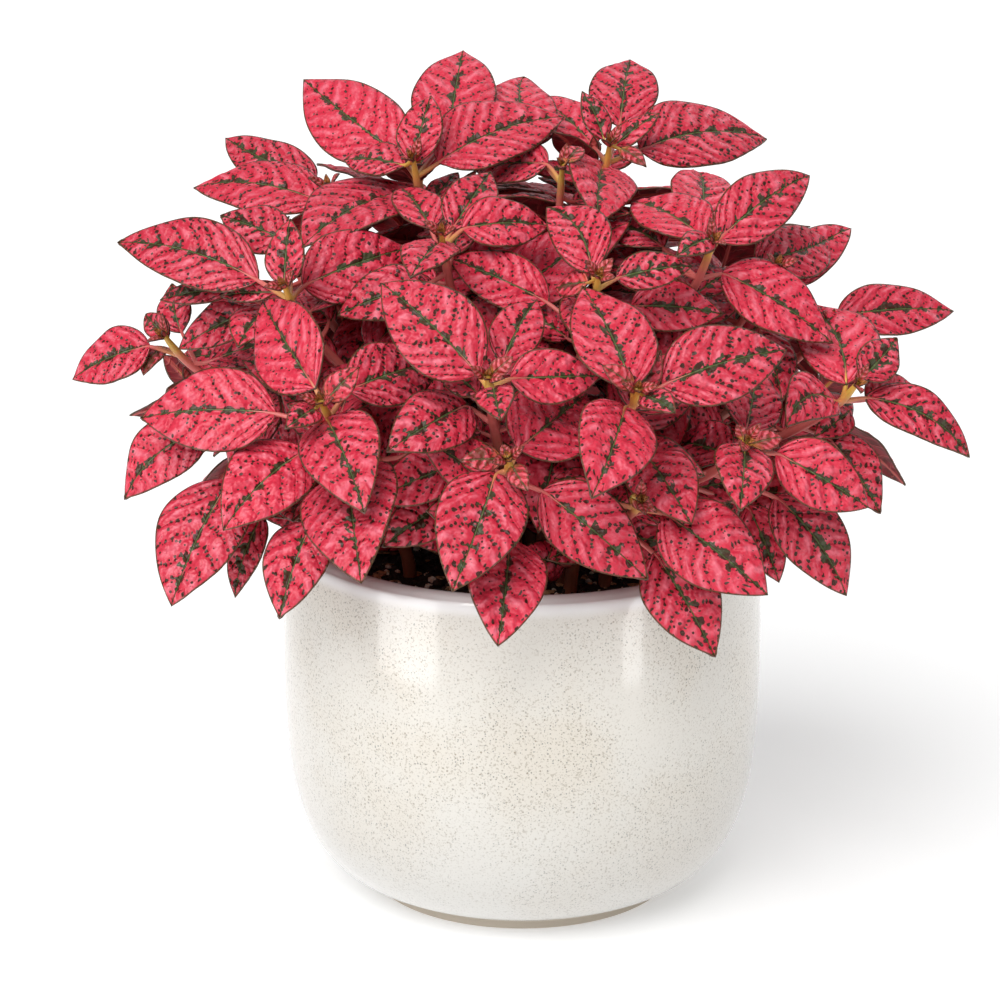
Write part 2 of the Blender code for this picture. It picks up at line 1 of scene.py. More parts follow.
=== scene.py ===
"""The looks of a polka dot plant in a glazed pot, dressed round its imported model.

Each leafy stem of the model is replaced by a finer one: the same leaves in the same places, quilted between
their veins, with stalks, midribs and shoot tips. The pot and the soil are replaced by finer ones as well.
"""

import copy
import math
import random

import bmesh
import bpy
from bpy.props import FloatProperty, FloatVectorProperty, IntProperty, PointerProperty
from mathutils import Matrix, Vector, noise
from mathutils.bvhtree import BVHTree
from mathutils.kdtree import KDTree


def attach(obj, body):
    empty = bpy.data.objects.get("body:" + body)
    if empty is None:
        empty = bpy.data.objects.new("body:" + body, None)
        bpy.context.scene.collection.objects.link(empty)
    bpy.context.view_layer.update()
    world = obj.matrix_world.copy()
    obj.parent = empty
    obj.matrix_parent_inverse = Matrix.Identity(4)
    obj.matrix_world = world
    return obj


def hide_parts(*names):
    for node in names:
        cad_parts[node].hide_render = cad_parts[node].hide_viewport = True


bl_info = {
    "name": "Potted polka dot plant",
    "version": (1, 0, 0),
    "blender": (4, 5, 0),
    "location": "View3D > Sidebar > Polka dot plant",
    "description": "Builds the leafy stems, the pot, the soil and the stage of a potted polka dot plant",
    "category": "Add Mesh",
}

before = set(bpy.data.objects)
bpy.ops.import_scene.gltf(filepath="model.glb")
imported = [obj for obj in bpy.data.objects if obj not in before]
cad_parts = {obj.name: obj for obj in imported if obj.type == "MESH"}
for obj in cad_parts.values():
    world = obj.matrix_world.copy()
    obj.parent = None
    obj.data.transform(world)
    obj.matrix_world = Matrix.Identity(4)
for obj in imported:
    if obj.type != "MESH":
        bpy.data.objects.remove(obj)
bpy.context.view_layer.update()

MM = 0.001
SEED = 11

# The soil's top and the shapes of stems and leaves are the model's own.
SOIL_TOP = 105 * MM
STEM_FOOT_RADIUS = 2.1 * MM
STEM_TIP_RADIUS = 1.0 * MM
STEM_DEPTH = 12 * MM
STEM_COLLAR = 2 * MM
STEM_STATIONS = (0.3, 0.6, 0.85)
STEM_RISE, STEM_ARRIVAL, STEM_UPTURN = 0.4, 0.3, 0.6
FOOT_SHARE, FOOT_DRAW_IN = 0.56, 0.36
BUD = 1.5 * MM
BOW = (0.05, 0.1)
SWAY = 0.02
FOLD = (0.1, 0.24)
CURL = (0.08, 0.16)
ROLL = 0.12
WIDEST_AT = 0.37
ROOT_FULLNESS, TIP_FULLNESS = 0.62, 1.06
SEEN_STATIONS = (0.12, 0.42, 0.76)
PLAIN_STATIONS = (0.16, 0.55)
SMALL_WIDTH = 10 * MM
BROADEST = 0.62
LEAST_SHOWN = 0.7

# The eye that the sheet is drawn from, how far down it looks, the middle of the sheet, and how many of the
# sheet's units away it stands.
EYE = Vector((-6.9, -957.6, 414.5)) * MM
EYE_DOWN = 0.2952
SHEET_MIDDLE = 500
SHEET_AWAY = 3216.6

# The dome that the crowns of the stems make.
DOME_CENTRE = Vector((0, 0, 125)) * MM
DOME_RADII = Vector((118, 100, 110)) * MM

# For each joint of a stem, counted from the crown: how far below it sits in mm, how long its leaves grow in
# mm, and how far they spread from the stem in degrees. Then for hidden pairs: the first joint that has one,
# widths as shares of length, how high above the pot's foot they stay, and how long they get.
JOINTS = (0, 6, 14, 24, 36, 50)
LENGTHS = (13, 23, 36, 43, 46, 44)
SPREADS = (28, 52, 74, 88, 96, 102)
FIRST_HIDDEN_JOINT = 4
HIDDEN_WIDTHS = (0.54, 0.64)
HIDDEN_ABOVE = 134 * MM
LONGEST_HIDDEN = 50 * MM

# Each stem: its crown's place on the sheet, how far behind the dome that is in mm, and its hidden pairs, then
# its leaves: joint, root across and down, tip across and down, width in mm, how far back in mm, and for some
# how far the blade bends to the right on its way to the tip, in mm.
SHEET_STEMS = (
    ((414, 163), 10, 2, (
        (0, 414, 162, 431, 96, 13, 0), (0, 405, 165, 345, 160, 10, 3), (1, 402, 156, 304, 79, 24, 0, -0.8),
        (1, 438, 163, 563, 118, 21.5, 0, -2.4), (2, 418, 188, 303, 246, 25, 0, 2.5),
        (1, 447, 140, 463, 51, 25.5, 8, 1),
    )),
    ((609, 148), 8, 2, (
        (0, 604, 140, 582, 92, 8, 0), (0, 614, 145, 660, 112, 7, 0), (0, 620, 148, 646, 166, 5, 0),
        (1, 640, 150, 766, 139, 22.5, 0, -2.8), (1, 604, 166, 597, 224, 23, 0, 1.5),
        (1, 620, 126, 630, 60, 21.5, 6),
        (1, 594, 146, 536, 98, 16, 12),
    )),
    ((562, 170), 26, 1, (
        (1, 548, 163, 476, 170, 13.5, 0), (1, 532, 146, 524, 77, 22, 6, -1.5), (0, 566, 164, 580, 148, 6, 0),
    )),
    ((442, 236), 14, 1, (
        (1, 452, 228, 490, 172, 14.5, 0), (1, 462, 228, 548, 226, 15, 0), (1, 440, 243, 411, 277, 14.5, 0),
        (2, 428, 284, 338, 315, 15.5, 0), (2, 432, 230, 402, 190, 14, 6),
    )),
    ((598, 279), 9, 1, (
        (0, 597, 277, 613, 258, 4, 0), (0, 588, 282, 556, 288, 8, 4), (1, 592, 272, 547, 208, 17, 0, 2.2),
        (1, 616, 278, 692, 266, 11, 0), (3, 630, 306, 721, 314, 15, 0), (3, 592, 296, 590, 358, 20, 6),
        (3, 548, 302, 449, 258, 16, 0),
    )),
    ((712, 243), 4, 1, (
        (0, 713, 243, 711, 225, 3.5, 0), (0, 712, 238, 677, 256, 8.5, 0), (1, 702, 236, 632, 202, 17.5, 0),
        (1, 718, 240, 809, 176, 18.5, 0, -1.8), (2, 722, 272, 831, 342, 18.5, 0),
        (1, 702, 222, 698, 171, 20, 10),
        (2, 664, 247, 602, 228, 14, 10),
    )),
    ((775, 268), 14, 2, (
        (1, 757, 262, 828, 239, 18, 0, 1.2), (2, 786, 284, 852, 228, 14.5, 4, -0.9),
        (2, 760, 330, 782, 400, 14, 10),
    )),
    ((828, 322), 26, 2, (
        (1, 838, 316, 953, 311, 16.5, 0, -0.8),
    )),
    ((854, 386), 0, 1, (
        (0, 862, 378, 896, 339, 12.5, 0), (1, 838, 402, 787, 427, 15.5, 0, 3),
        (1, 866, 397, 969, 457, 14, 0, -3.6),
        (1, 845, 384, 800, 305, 21.5, 0, 2), (1, 866, 400, 912, 384, 12.5, 8),
        (3, 828, 436, 879, 512, 15.5, 0), (3, 850, 410, 814, 438, 10, 0),
    )),
    ((745, 442), 0, 1, (
        (0, 752, 444, 783, 437, 6.5, 0), (0, 744, 440, 737, 424, 3.5, 0), (1, 745, 445, 740, 510, 17, 0),
        (1, 776, 452, 868, 507, 18.5, 0), (2, 746, 432, 757, 368, 17.5, 0),
        (3, 776, 496, 846, 595, 19, 0, -1.6),
        (4, 748, 505, 779, 582, 13, 4), (3, 730, 456, 670, 446, 17.5, 2),
    )),
    ((637, 391), -3, 1, (
        (0, 640, 391, 662, 350, 7.5, 0), (0, 643, 395, 675, 413, 8, 0), (0, 633, 388, 602, 366, 6.5, 0),
        (1, 632, 388, 583, 290, 22, 0), (1, 662, 385, 786, 350, 22.5, 0), (1, 625, 406, 592, 497, 22.5, 0),
        (3, 645, 452, 692, 524, 19, 0),
    )),
    ((488, 379), -3, 1, (
        (0, 491, 376, 513, 357, 5, 0), (1, 478, 374, 382, 284, 24, 0), (1, 510, 378, 600, 376, 15.5, 0),
        (0, 493, 386, 501, 420, 11, 0), (3, 468, 404, 388, 451, 19, 0), (2, 503, 362, 537, 300, 14.5, 2),
    )),
    ((508, 459), -2, 1, (
        (0, 502, 458, 461, 460, 7, 0), (0, 512, 465, 528, 491, 6, 0), (0, 508, 458, 502, 444, 3, 0),
        (1, 496, 472, 453, 590, 24.5, 0), (1, 518, 449, 586, 394, 24.5, 0), (2, 542, 490, 646, 578, 21, 0),
        (3, 510, 540, 498, 645, 22, -6), (3, 462, 462, 372, 502, 15, 4), (4, 448, 502, 384, 546, 14.5, 4),
    )),
    ((322, 403), 0, 1, (
        (0, 327, 400, 359, 368, 8, 0), (0, 316, 408, 286, 428, 8.5, 0), (0, 320, 400, 337, 370, 6.5, 3),
        (1, 315, 388, 264, 302, 23, 0), (1, 326, 418, 364, 512, 23, 0, -0.9), (1, 348, 390, 434, 364, 20, 4),
        (2, 276, 413, 143, 418, 24, 0), (3, 346, 470, 361, 582, 28, -4, -1.5),
        (3, 306, 450, 224, 530, 22.5, 0, 1.2), (3, 312, 522, 280, 617, 18, 0, 0.8),
    )),
    ((286, 289), 0, 1, (
        (0, 284, 285, 290, 219, 11, 0), (1, 258, 280, 120, 243, 20.5, 0, 2.7),
        (1, 302, 284, 407, 247, 20.5, 0),
        (2, 264, 301, 175, 347, 13, 0), (2, 268, 304, 236, 345, 12.5, 0), (1, 274, 292, 220, 296, 6, 4),
        (1, 290, 242, 222, 216, 15, 10), (3, 330, 320, 300, 288, 13.5, 2), (2, 232, 290, 160, 300, 7.5, 4),
    )),
    ((167, 338), 0, 0, (
        (0, 168, 337, 146, 314, 7.5, 0), (1, 163, 345, 141, 374, 6, 0, 1),
        (1, 150, 345, 73, 379, 16.5, 0, 1.2),
        (2, 181, 332, 172, 285, 11, 4), (3, 236, 360, 178, 359, 10, 2),
    )),
    ((330, 190), 22, 2, (
        (1, 322, 202, 195, 188, 18.5, 0, 1.6), (1, 316, 180, 226, 138, 15.5, 6, -2.7),
    )),
    ((240, 440), 12, 1, (
        (1, 230, 480, 172, 605, 24, 0, 0.8), (1, 206, 430, 126, 498, 17.5, 0, 3),
        (2, 262, 515, 235, 597, 10, 4, 0.8),
    )),
    ((640, 500), 6, 0, (
        (0, 630, 496, 656, 512, 4.5, 0), (1, 663, 512, 767, 594, 23.5, 0), (3, 655, 553, 714, 655, 21, -8),
        (1, 600, 500, 554, 478, 11.5, 6),
    )),
)


# The stems behind: which way round from the right-hand side and how high each crown stands, in degrees.
BACK_STEMS = (
    (31, 12), (56, 14), (88, 10), (122, 14), (155, 12),
    (38, 42), (74, 44), (112, 42), (146, 40), (66, 62), (124, 60),
)
BACK_JOINTS = 4

# How far in mm a leaf is moved along the line of sight, and by which share at its root, to stand clear.
SHIFTS = (3, -2, 6, 9, -4, 12, 15, -7, 18, 22, -10, 26, 30)
ROOT_SHARES = (1.0, 0.4, 0.0)
EXTRA_ROLL = 0.25
SWINGS = (0.15, 0.3, 0.45, 0.6)
ROOT_SWING = 0.1


def sheet_ray(across, down):
    """The line of sight through a point of the sheet."""
    right = Vector((1, 0, 0))
    ahead = Vector((0, math.cos(EYE_DOWN), -math.sin(EYE_DOWN)))
    ray = ahead * SHEET_AWAY + right * (across - SHEET_MIDDLE) + right.cross(ahead) * (SHEET_MIDDLE - down)
    return ray.normalized()


AHEAD = sheet_ray(SHEET_MIDDLE, SHEET_MIDDLE)


def at_depth(point, depth):
    ray = sheet_ray(*point)
    return EYE + ray * ((depth - EYE.y) / ray.y)


def on_plane(point, through, normal):
    ray = sheet_ray(*point)
    return EYE + ray * ((through - EYE).dot(normal) / ray.dot(normal))


def on_dome(point):
    """Where the line of sight meets the dome, or passes nearest to it."""
    ray = sheet_ray(*point)
    start = Vector([(a - b) / c for a, b, c in zip(EYE, DOME_CENTRE, DOME_RADII)])
    step = Vector([a / b for a, b in zip(ray, DOME_RADII)])
    half, square = start.dot(step), step.dot(step)
    inside = half * half - square * (start.dot(start) - 1)
    return EYE + ray * ((-half - math.sqrt(max(0, inside))) / square)


def dome_normal(place):
    return Vector([(a - b) / c**2 for a, b, c in zip(place, DOME_CENTRE, DOME_RADII)]).normalized()


def bezier(points, t):
    a, b, c, d = points
    return a * (1 - t) ** 3 + b * 3 * t * (1 - t) ** 2 + c * 3 * t * t * (1 - t) + d * t**3


def foot_of(crown):
    """Where a stem leaves the soil: the lower its crown hangs, the nearer the rim it grows."""
    high = (crown.z - SOIL_TOP) / (DOME_CENTRE.z + DOME_RADII.z - SOIL_TOP)
    share = FOOT_SHARE - FOOT_DRAW_IN * high
    return Vector((crown.x * share, crown.y * share, SOIL_TOP))


class Stem:
    """A stem from its foot in the soil to its crown, which faces the way the leaves there do."""

    def __init__(self, crown, facing):
        self.crown, self.facing, self.foot, self.leaves = crown, facing, foot_of(crown), []
        up = Vector((0, 0, 1))
        reach = (crown - self.foot).length
        arrival = (facing + up * STEM_UPTURN).normalized() * reach * STEM_ARRIVAL
        self.guide = (self.foot, self.foot + up * reach * STEM_RISE, crown - arrival, crown)
        self.marks = [self.foot - up * STEM_DEPTH, self.foot + up * STEM_COLLAR]
        self.marks += [bezier(self.guide, t) for t in STEM_STATIONS] + [crown + facing * BUD]

    def joint(self, below):
        """The point this far below the crown along the stem."""
        left = below + BUD
        for upper, lower in zip(self.marks[::-1], self.marks[-2::-1]):
            step = (upper - lower).length
            if left <= step:
                return upper.lerp(lower, left / step)
            left -= step
        return self.marks[1]



class Leaf:
    """A leaf: joint on the stem, root and tip of the blade, the way its upper face looks, and its width."""

    def __init__(self, joint, root, tip, facing, width, rng, seen):
        self.joint, self.root, self.tip = joint, root, tip
        self.facing, self.width, self.seen = facing, width, seen
        self.bow = rng.uniform(*BOW)
        self.sway = rng.uniform(-SWAY, SWAY)
        self.fold = rng.uniform(*FOLD)
        self.curl = rng.uniform(*CURL)
        self.roll = rng.uniform(-ROLL, ROLL)

    def moved(self, root_by, tip_by, roll=0.0):
        other = copy.copy(self)
        other.root, other.tip = self.root + root_by, self.tip + tip_by
        if not self.seen:
            other.tip = other.root.lerp(other.tip, min(1, LONGEST_HIDDEN / other.length()))
        other.roll = self.roll + roll
        return other

    def length(self):
        return (self.tip - self.root).length

    def frame(self):
        """The way from root to tip, the way to the left margin and the way up from the blade."""
        ahead = (self.tip - self.root).normalized()
        face = (self.facing - ahead * self.facing.dot(ahead)).normalized()
        face = Matrix.Rotation(self.roll, 3, ahead) @ face
        return ahead, ahead.cross(face), face

    def point(self, s, t):
        """A point of the upper face: s runs from root to tip, t from one margin to the other."""
        _, side, face = self.frame()
        half = self.width / 2 * outline(s)
        arch = self.length() * 4 * s * (1 - s)
        rise = self.bow * arch + half * (self.fold * abs(t) - self.curl * t * t)
        return self.root.lerp(self.tip, s) + face * rise + side * (half * t + self.sway * arch)


def outline(s):
    """Half the blade's width at s as a share of its widest: round near the root, drawn out at the tip."""
    if not 0 < s < 1:
        return 0.0
    return (s / WIDEST_AT) ** ROOT_FULLNESS * ((1 - s) / (1 - WIDEST_AT)) ** TIP_FULLNESS


def sheet_leaf(stem, row, rng):
    """The leaf that a row of the table describes, on a plane through its joint, facing as the crown does."""
    joint, root_across, root_down, tip_across, tip_down, width, back, *bend = row
    start = stem.joint(JOINTS[joint] * MM)
    flat = stem.facing if joint else (stem.facing - AHEAD * 0.5).normalized()
    away = sheet_ray(tip_across, tip_down)
    root = on_plane((root_across, root_down), start, flat) + away * back * MM
    tip = on_plane((tip_across, tip_down), start, flat) + away * back * MM
    tip += away * (tip - root).length * (0.14 if joint else -0.25)
    leaf = Leaf(start, root, tip, stem.facing, width * MM, rng, True)
    leaf.sway += sum(bend) * MM / leaf.length()
    side = leaf.frame()[1]
    leaf.width /= max((side - away * side.dot(away)).length, LEAST_SHOWN)
    short = (leaf.width / BROADEST) ** 2 - leaf.length() ** 2
    if short > 0:
        leaf.tip += away * math.sqrt(short) * (-1 if tip_down > root_down + 10 else 1)
    return leaf


def sheet_stems(rng):
    """The stems that show from the front, with the leaves that show on them and the pairs hidden below."""
    made = []
    for place, behind, hidden, rows in SHEET_STEMS:
        on = on_dome(place)
        facing = (dome_normal(on) * 0.55 - AHEAD * 0.7 + Vector((0, 0, 0.2))).normalized()
        stem = Stem(at_depth(place, on.y + behind * MM), facing)
        stem.leaves = [sheet_leaf(stem, row, rng) for row in rows]
        pairs = ruled_pairs(stem, range(FIRST_HIDDEN_JOINT, FIRST_HIDDEN_JOINT + hidden), rng)
        stem.leaves += [leaf for leaf in pairs if leaf.tip.z > HIDDEN_ABOVE]
        made.append(stem)
    return made


def ruled_pairs(stem, joints, rng):
    """Pairs of leaves at these joints, each pair a quarter turn from the last."""
    made = []
    turn = rng.uniform(0, math.pi)
    for joint in joints:
        start = stem.joint(JOINTS[joint] * MM)
        upper = stem.joint(JOINTS[joint - 1] * MM) if joint else stem.crown + stem.facing * BUD
        ahead = ((upper - start).normalized() + stem.facing * 0.5).normalized()
        one = ahead.cross(Vector((0.2, 0.1, 1))).normalized()
        for half in (0, math.pi):
            a = turn + joint * math.pi / 2 + half + rng.uniform(-0.25, 0.25)
            out = one * math.cos(a) + ahead.cross(one) * math.sin(a)
            lean = math.radians(SPREADS[joint] + rng.uniform(-8, 8))
            way = ahead * math.cos(lean) + out * math.sin(lean) - Vector((0, 0, 0.05 * joint))
            way.normalize()
            long = LENGTHS[joint] * rng.uniform(0.85, 1.1) * MM
            root = start + way * (2 + 2 * joint) * MM
            width = long * rng.uniform(*HIDDEN_WIDTHS)
            made.append(Leaf(start, root, root + way * long, ahead, width, rng, False))
    return made


def back_stems(rng):
    made = []
    for around, high in BACK_STEMS:
        a, b = math.radians(around), math.radians(high)
        out = Vector((math.cos(a) * math.cos(b), math.sin(a) * math.cos(b), math.sin(b)))
        crown = DOME_CENTRE + Vector([p * q for p, q in zip(out, DOME_RADII)])
        stem = Stem(crown, (dome_normal(crown) + Vector((0, 0, 0.45))).normalized())
        stem.leaves = ruled_pairs(stem, range(BACK_JOINTS), rng)
        made.append(stem)
    return made


def tries(leaf):
    """The leaf as it is, then moved more and more: along the line of sight where it shows, else any way."""
    yield leaf
    if leaf.seen:
        for shift in SHIFTS:
            step = AHEAD * shift * MM
            for share in ROOT_SHARES:
                yield leaf.moved(step * share, step)
            for roll in (EXTRA_ROLL, -EXTRA_ROLL):
                yield leaf.moved(step, step, roll)
        return
    _, side, face = leaf.frame()
    for swing in SWINGS:
        for way in (face, -face, side, -side, face + side, face - side, side - face, -face - side):
            step = way * leaf.length() * swing
            yield leaf.moved(step * ROOT_SWING, step)


def srgb(*values):
    """A colour given from 0 to 255 as the screen shows it, as the linear values that Blender's sockets take."""
    return tuple((v / 255 / 12.92) if v <= 10 else ((v / 255 + 0.055) / 1.055) ** 2.4 for v in values)


def colour(label, about, *values):
    return FloatVectorProperty(name=label, description=about, subtype="COLOR", size=3, min=0, max=1,
                               default=srgb(*values))


def length(label, about, millimetres):
    return FloatProperty(name=label, description=about, unit="LENGTH", precision=5, min=0,
                         default=millimetres * MM)


class PolkaLeafSettings(bpy.types.PropertyGroup):
    """Sizes and colours of the leaves and their stems."""

    thickness: length("Blade thickness", "How thick a leaf blade is", 0.5)
    quilt: length("Quilting", "How far the blade of a grown leaf swells between its veins", 0.95)
    fine: IntProperty(name="Rows on shown leaves", description="Rows of faces along a leaf that faces the front",
                      default=40, min=8)
    plain: IntProperty(name="Rows on other leaves", description="Rows of faces along a leaf further back",
                       default=22, min=8)
    coarse: IntProperty(name="Rows on inner leaves", description="Rows of faces along a leaf inside the plant",
                        default=12, min=6)
    pink: colour("Pink", "Main colour of a leaf's upper face", 216, 46, 71)
    # Painted highlight: the sheen on the crests of the swellings between the veins, given as pale pink.
    painted_highlight_pink: colour("Pale pink", "Crests of the swellings between the veins", 246, 132, 150)
    # Deep pink: some leaves are deeper pink all over, and it is painted shade in the valleys along the side veins.
    deep: colour("Deep pink", "Colour along the side veins", 150, 24, 40)
    speck: colour("Spots", "Dark green spots and patches", 30, 28, 8)
    blue_green: colour("Patch centres", "Lighter middle of the patches at the midrib", 32, 72, 40)
    rib: colour("Midrib", "Line of the midrib", 94, 110, 62)
    margin: colour("Margin", "Thin dark line round the blade", 84, 62, 32)
    young_ground: colour("Young ground", "Ground of the youngest leaves", 166, 46, 42)
    young_pale: colour("Young stripes", "Stripes between the veins of the youngest leaves", 238, 112, 122)
    young_gold: colour("Shoot tip", "Roots of the youngest leaves, and the tip of a shoot", 206, 156, 52)
    under: colour("Underside", "Main colour of a leaf's underside", 152, 48, 58)
    under_vein: colour("Underside veins", "Veins and stains of the underside", 92, 46, 42)
    stem_gold: colour("Young stem", "Top of a stem and the stalks there", 216, 176, 76)
    stem_pink: colour("Stem", "Middle of a stem, and the stalks", 206, 98, 92)
    stem_brown: colour("Old stem", "Lower part of a stem", 150, 88, 62)


class PolkaPotSettings(bpy.types.PropertyGroup):
    """Sizes and colours of the pot."""

    steps: IntProperty(name="Steps round", description="Faces round the pot", default=128, min=16)
    glaze: colour("Glaze", "Cream ground of the glaze", 230, 226, 217)
    warm: colour("Warm glaze", "Warmer clouds in the glaze", 225, 217, 203)
    rim: colour("Rim glaze", "Whiter glaze at the rim", 252, 251, 250)
    fleck: colour("Flecks", "Brown flecks in the glaze", 146, 130, 104)
    grey_fleck: colour("Grey flecks", "Grey flecks in the glaze", 112, 108, 96)
    # Painted shade: the glaze is greyed towards the foot, where the pot gets less light.
    low: colour("Lower glaze", "Greyer glaze towards the foot", 186, 188, 190)
    clay: colour("Bare foot", "Unglazed clay of the foot", 206, 194, 178)


class PolkaSoilSettings(bpy.types.PropertyGroup):
    """Sizes and colours of the soil."""

    crumbs: IntProperty(name="Crumbs", description="Number of crumbs on the soil", default=900, min=0)
    chips: IntProperty(name="Bark chips", description="Number of bark chips on the soil", default=190, min=0)
    beads: IntProperty(name="Light bits", description="Number of light mineral bits on the soil", default=210, min=0)
    peat: colour("Peat", "Main colour of the soil", 30, 20, 14)
    damp: colour("Dry peat", "Lighter crumbs", 64, 44, 30)
    bark: colour("Bark", "Bark chips", 216, 172, 126)
    bead: colour("Light bits", "Light mineral bits", 244, 232, 214)


class PolkaStageSettings(bpy.types.PropertyGroup):
    """The floor, the lights and the camera."""

    floor: colour("Floor", "Colour of the floor", 222, 222, 222)
    glow: FloatProperty(name="Floor glow", description="Own light of the floor, which keeps it white", default=0.36,
                        min=0)
    sky: FloatProperty(name="Surround", description="Strength of the white surround", default=0.26, min=0)
    key: FloatProperty(name="Key light", description="Strength of the wide main light", default=2.9, min=0)
    fill: FloatProperty(name="Fill light", description="Strength of the light from behind", default=0.7, min=0)
    strips: FloatProperty(name="Cards", description="Power of the upright cards that the glaze mirrors",
                          unit="POWER", default=3.0, min=0)


class Graph:
    """Adds nodes to a node tree. An input is a socket to link or a plain value."""

    def __init__(self, tree):
        self.tree = tree

    def node(self, kind, inputs=(), **settings):
        made = self.tree.nodes.new(kind)
        for name, value in settings.items():
            setattr(made, name, value)
        for place, value in dict(inputs).items():
            if isinstance(value, bpy.types.NodeSocket):
                self.tree.links.new(value, made.inputs[place])
            elif value is not None:
                made.inputs[place].default_value = value
        return made

    def math(self, operation, *values, clamp=False):
        return self.node("ShaderNodeMath", enumerate(values), operation=operation, use_clamp=clamp).outputs[0]

    def step(self, value, low, high):
        """Rises smoothly from 0 at low to 1 at high, or falls when high is below low."""
        places = {"Value": value, "From Min": low, "From Max": high}
        return self.node("ShaderNodeMapRange", places, interpolation_type="SMOOTHSTEP").outputs[0]

    def mix(self, share, one, two):
        places = {0: share, 6: rgba(one), 7: rgba(two)}
        return self.node("ShaderNodeMix", places, data_type="RGBA", clamp_factor=True).outputs[2]

    def noise(self, vector, scale, detail=2.0, roughness=0.5):
        places = {"Vector": vector, "Scale": scale, "Detail": detail, "Roughness": roughness}
        return self.node("ShaderNodeTexNoise", places)

    def cells(self, vector, scale):
        return self.node("ShaderNodeTexVoronoi", {"Vector": vector, "Scale": scale}).outputs

    def beads(self, place):
        """Points strung on a line, about one to each unit of it."""
        places = {"W": place, "Scale": 1.0}
        return self.node("ShaderNodeTexVoronoi", places, voronoi_dimensions="1D").outputs

    def link(self, one, two):
        self.tree.links.new(one, two)

    def split(self, vector):
        return self.node("ShaderNodeSeparateXYZ", {0: vector}).outputs

    def join(self, x, y, z):
        return self.node("ShaderNodeCombineXYZ", {0: x, 1: y, 2: z}).outputs[0]

    def attribute(self, name):
        return self.node("ShaderNodeAttribute", attribute_name=name)

    def group(self, tree, inputs):
        made = self.node("ShaderNodeGroup", node_tree=tree)
        for name, value in inputs.items():
            if isinstance(value, bpy.types.NodeSocket):
                self.tree.links.new(value, made.inputs[name])
            else:
                made.inputs[name].default_value = value
        return made.outputs


def rgba(value):
    return value if isinstance(value, bpy.types.NodeSocket) else (*value, 1)


def new_group(name, inputs, outputs):
    """A node group with these named sockets, and its own Graph, input sockets and output node."""
    tree = bpy.data.node_groups.new(name, "ShaderNodeTree")
    for label, kind in inputs.items():
        tree.interface.new_socket(label, in_out="INPUT", socket_type="NodeSocket" + kind)
    for label, kind in outputs.items():
        tree.interface.new_socket(label, in_out="OUTPUT", socket_type="NodeSocket" + kind)
    graph = Graph(tree)
    given = graph.node("NodeGroupInput").outputs
    taken = graph.node("NodeGroupOutput").inputs
    return tree, graph, given, taken


def new_material(name):
    made = bpy.data.materials.new(name)
    made.use_nodes = True
    return made, Graph(made.node_tree), made.node_tree.nodes["Principled BSDF"].inputs


def venation_group():
    """Where a point of a blade lies among its veins, in mm where nothing else is said.

    Blade holds the count of side veins from the root, the share of the way to the margin and the leaf's own
    number; Flat the distances along and across and half the width there; Leaf the mm from vein to vein.
    Place lies flat on the blade, and Streak follows the veins.
    """
    tree, graph, given, taken = new_group(
        "Leaf venation", {"Blade": "Vector", "Flat": "Vector", "Leaf": "Vector"},
        {"Across": "Float", "Margin": "Float", "Off vein": "Float", "Crest": "Float", "Row": "Float",
         "Streak": "Vector", "Place": "Vector"})
    blade, flat = graph.split(given["Blade"]), graph.split(given["Flat"])
    gap = graph.split(given["Leaf"])[0]
    across = graph.math("ABSOLUTE", flat[1])
    graph.link(across, taken["Across"])
    graph.link(graph.math("SUBTRACT", flat[2], across), taken["Margin"])
    row = graph.math("ROUND", blade[0])
    away = graph.math("SUBTRACT", blade[0], row)
    graph.link(graph.math("MULTIPLY", away, gap), taken["Off vein"])
    graph.link(graph.math("MULTIPLY", graph.math("ABSOLUTE", away), 2.0), taken["Crest"])
    side = graph.math("SIGN", flat[1])
    graph.link(graph.math("MULTIPLY_ADD", row, 13.7, graph.math("MULTIPLY", side, 71.3)), taken["Row"])
    apart = graph.math("MULTIPLY", blade[2], 9.0)
    graph.link(graph.join(graph.math("MULTIPLY", blade[0], gap), flat[1], apart), taken["Streak"])
    graph.link(graph.join(flat[0], flat[1], apart), taken["Place"])
    return tree


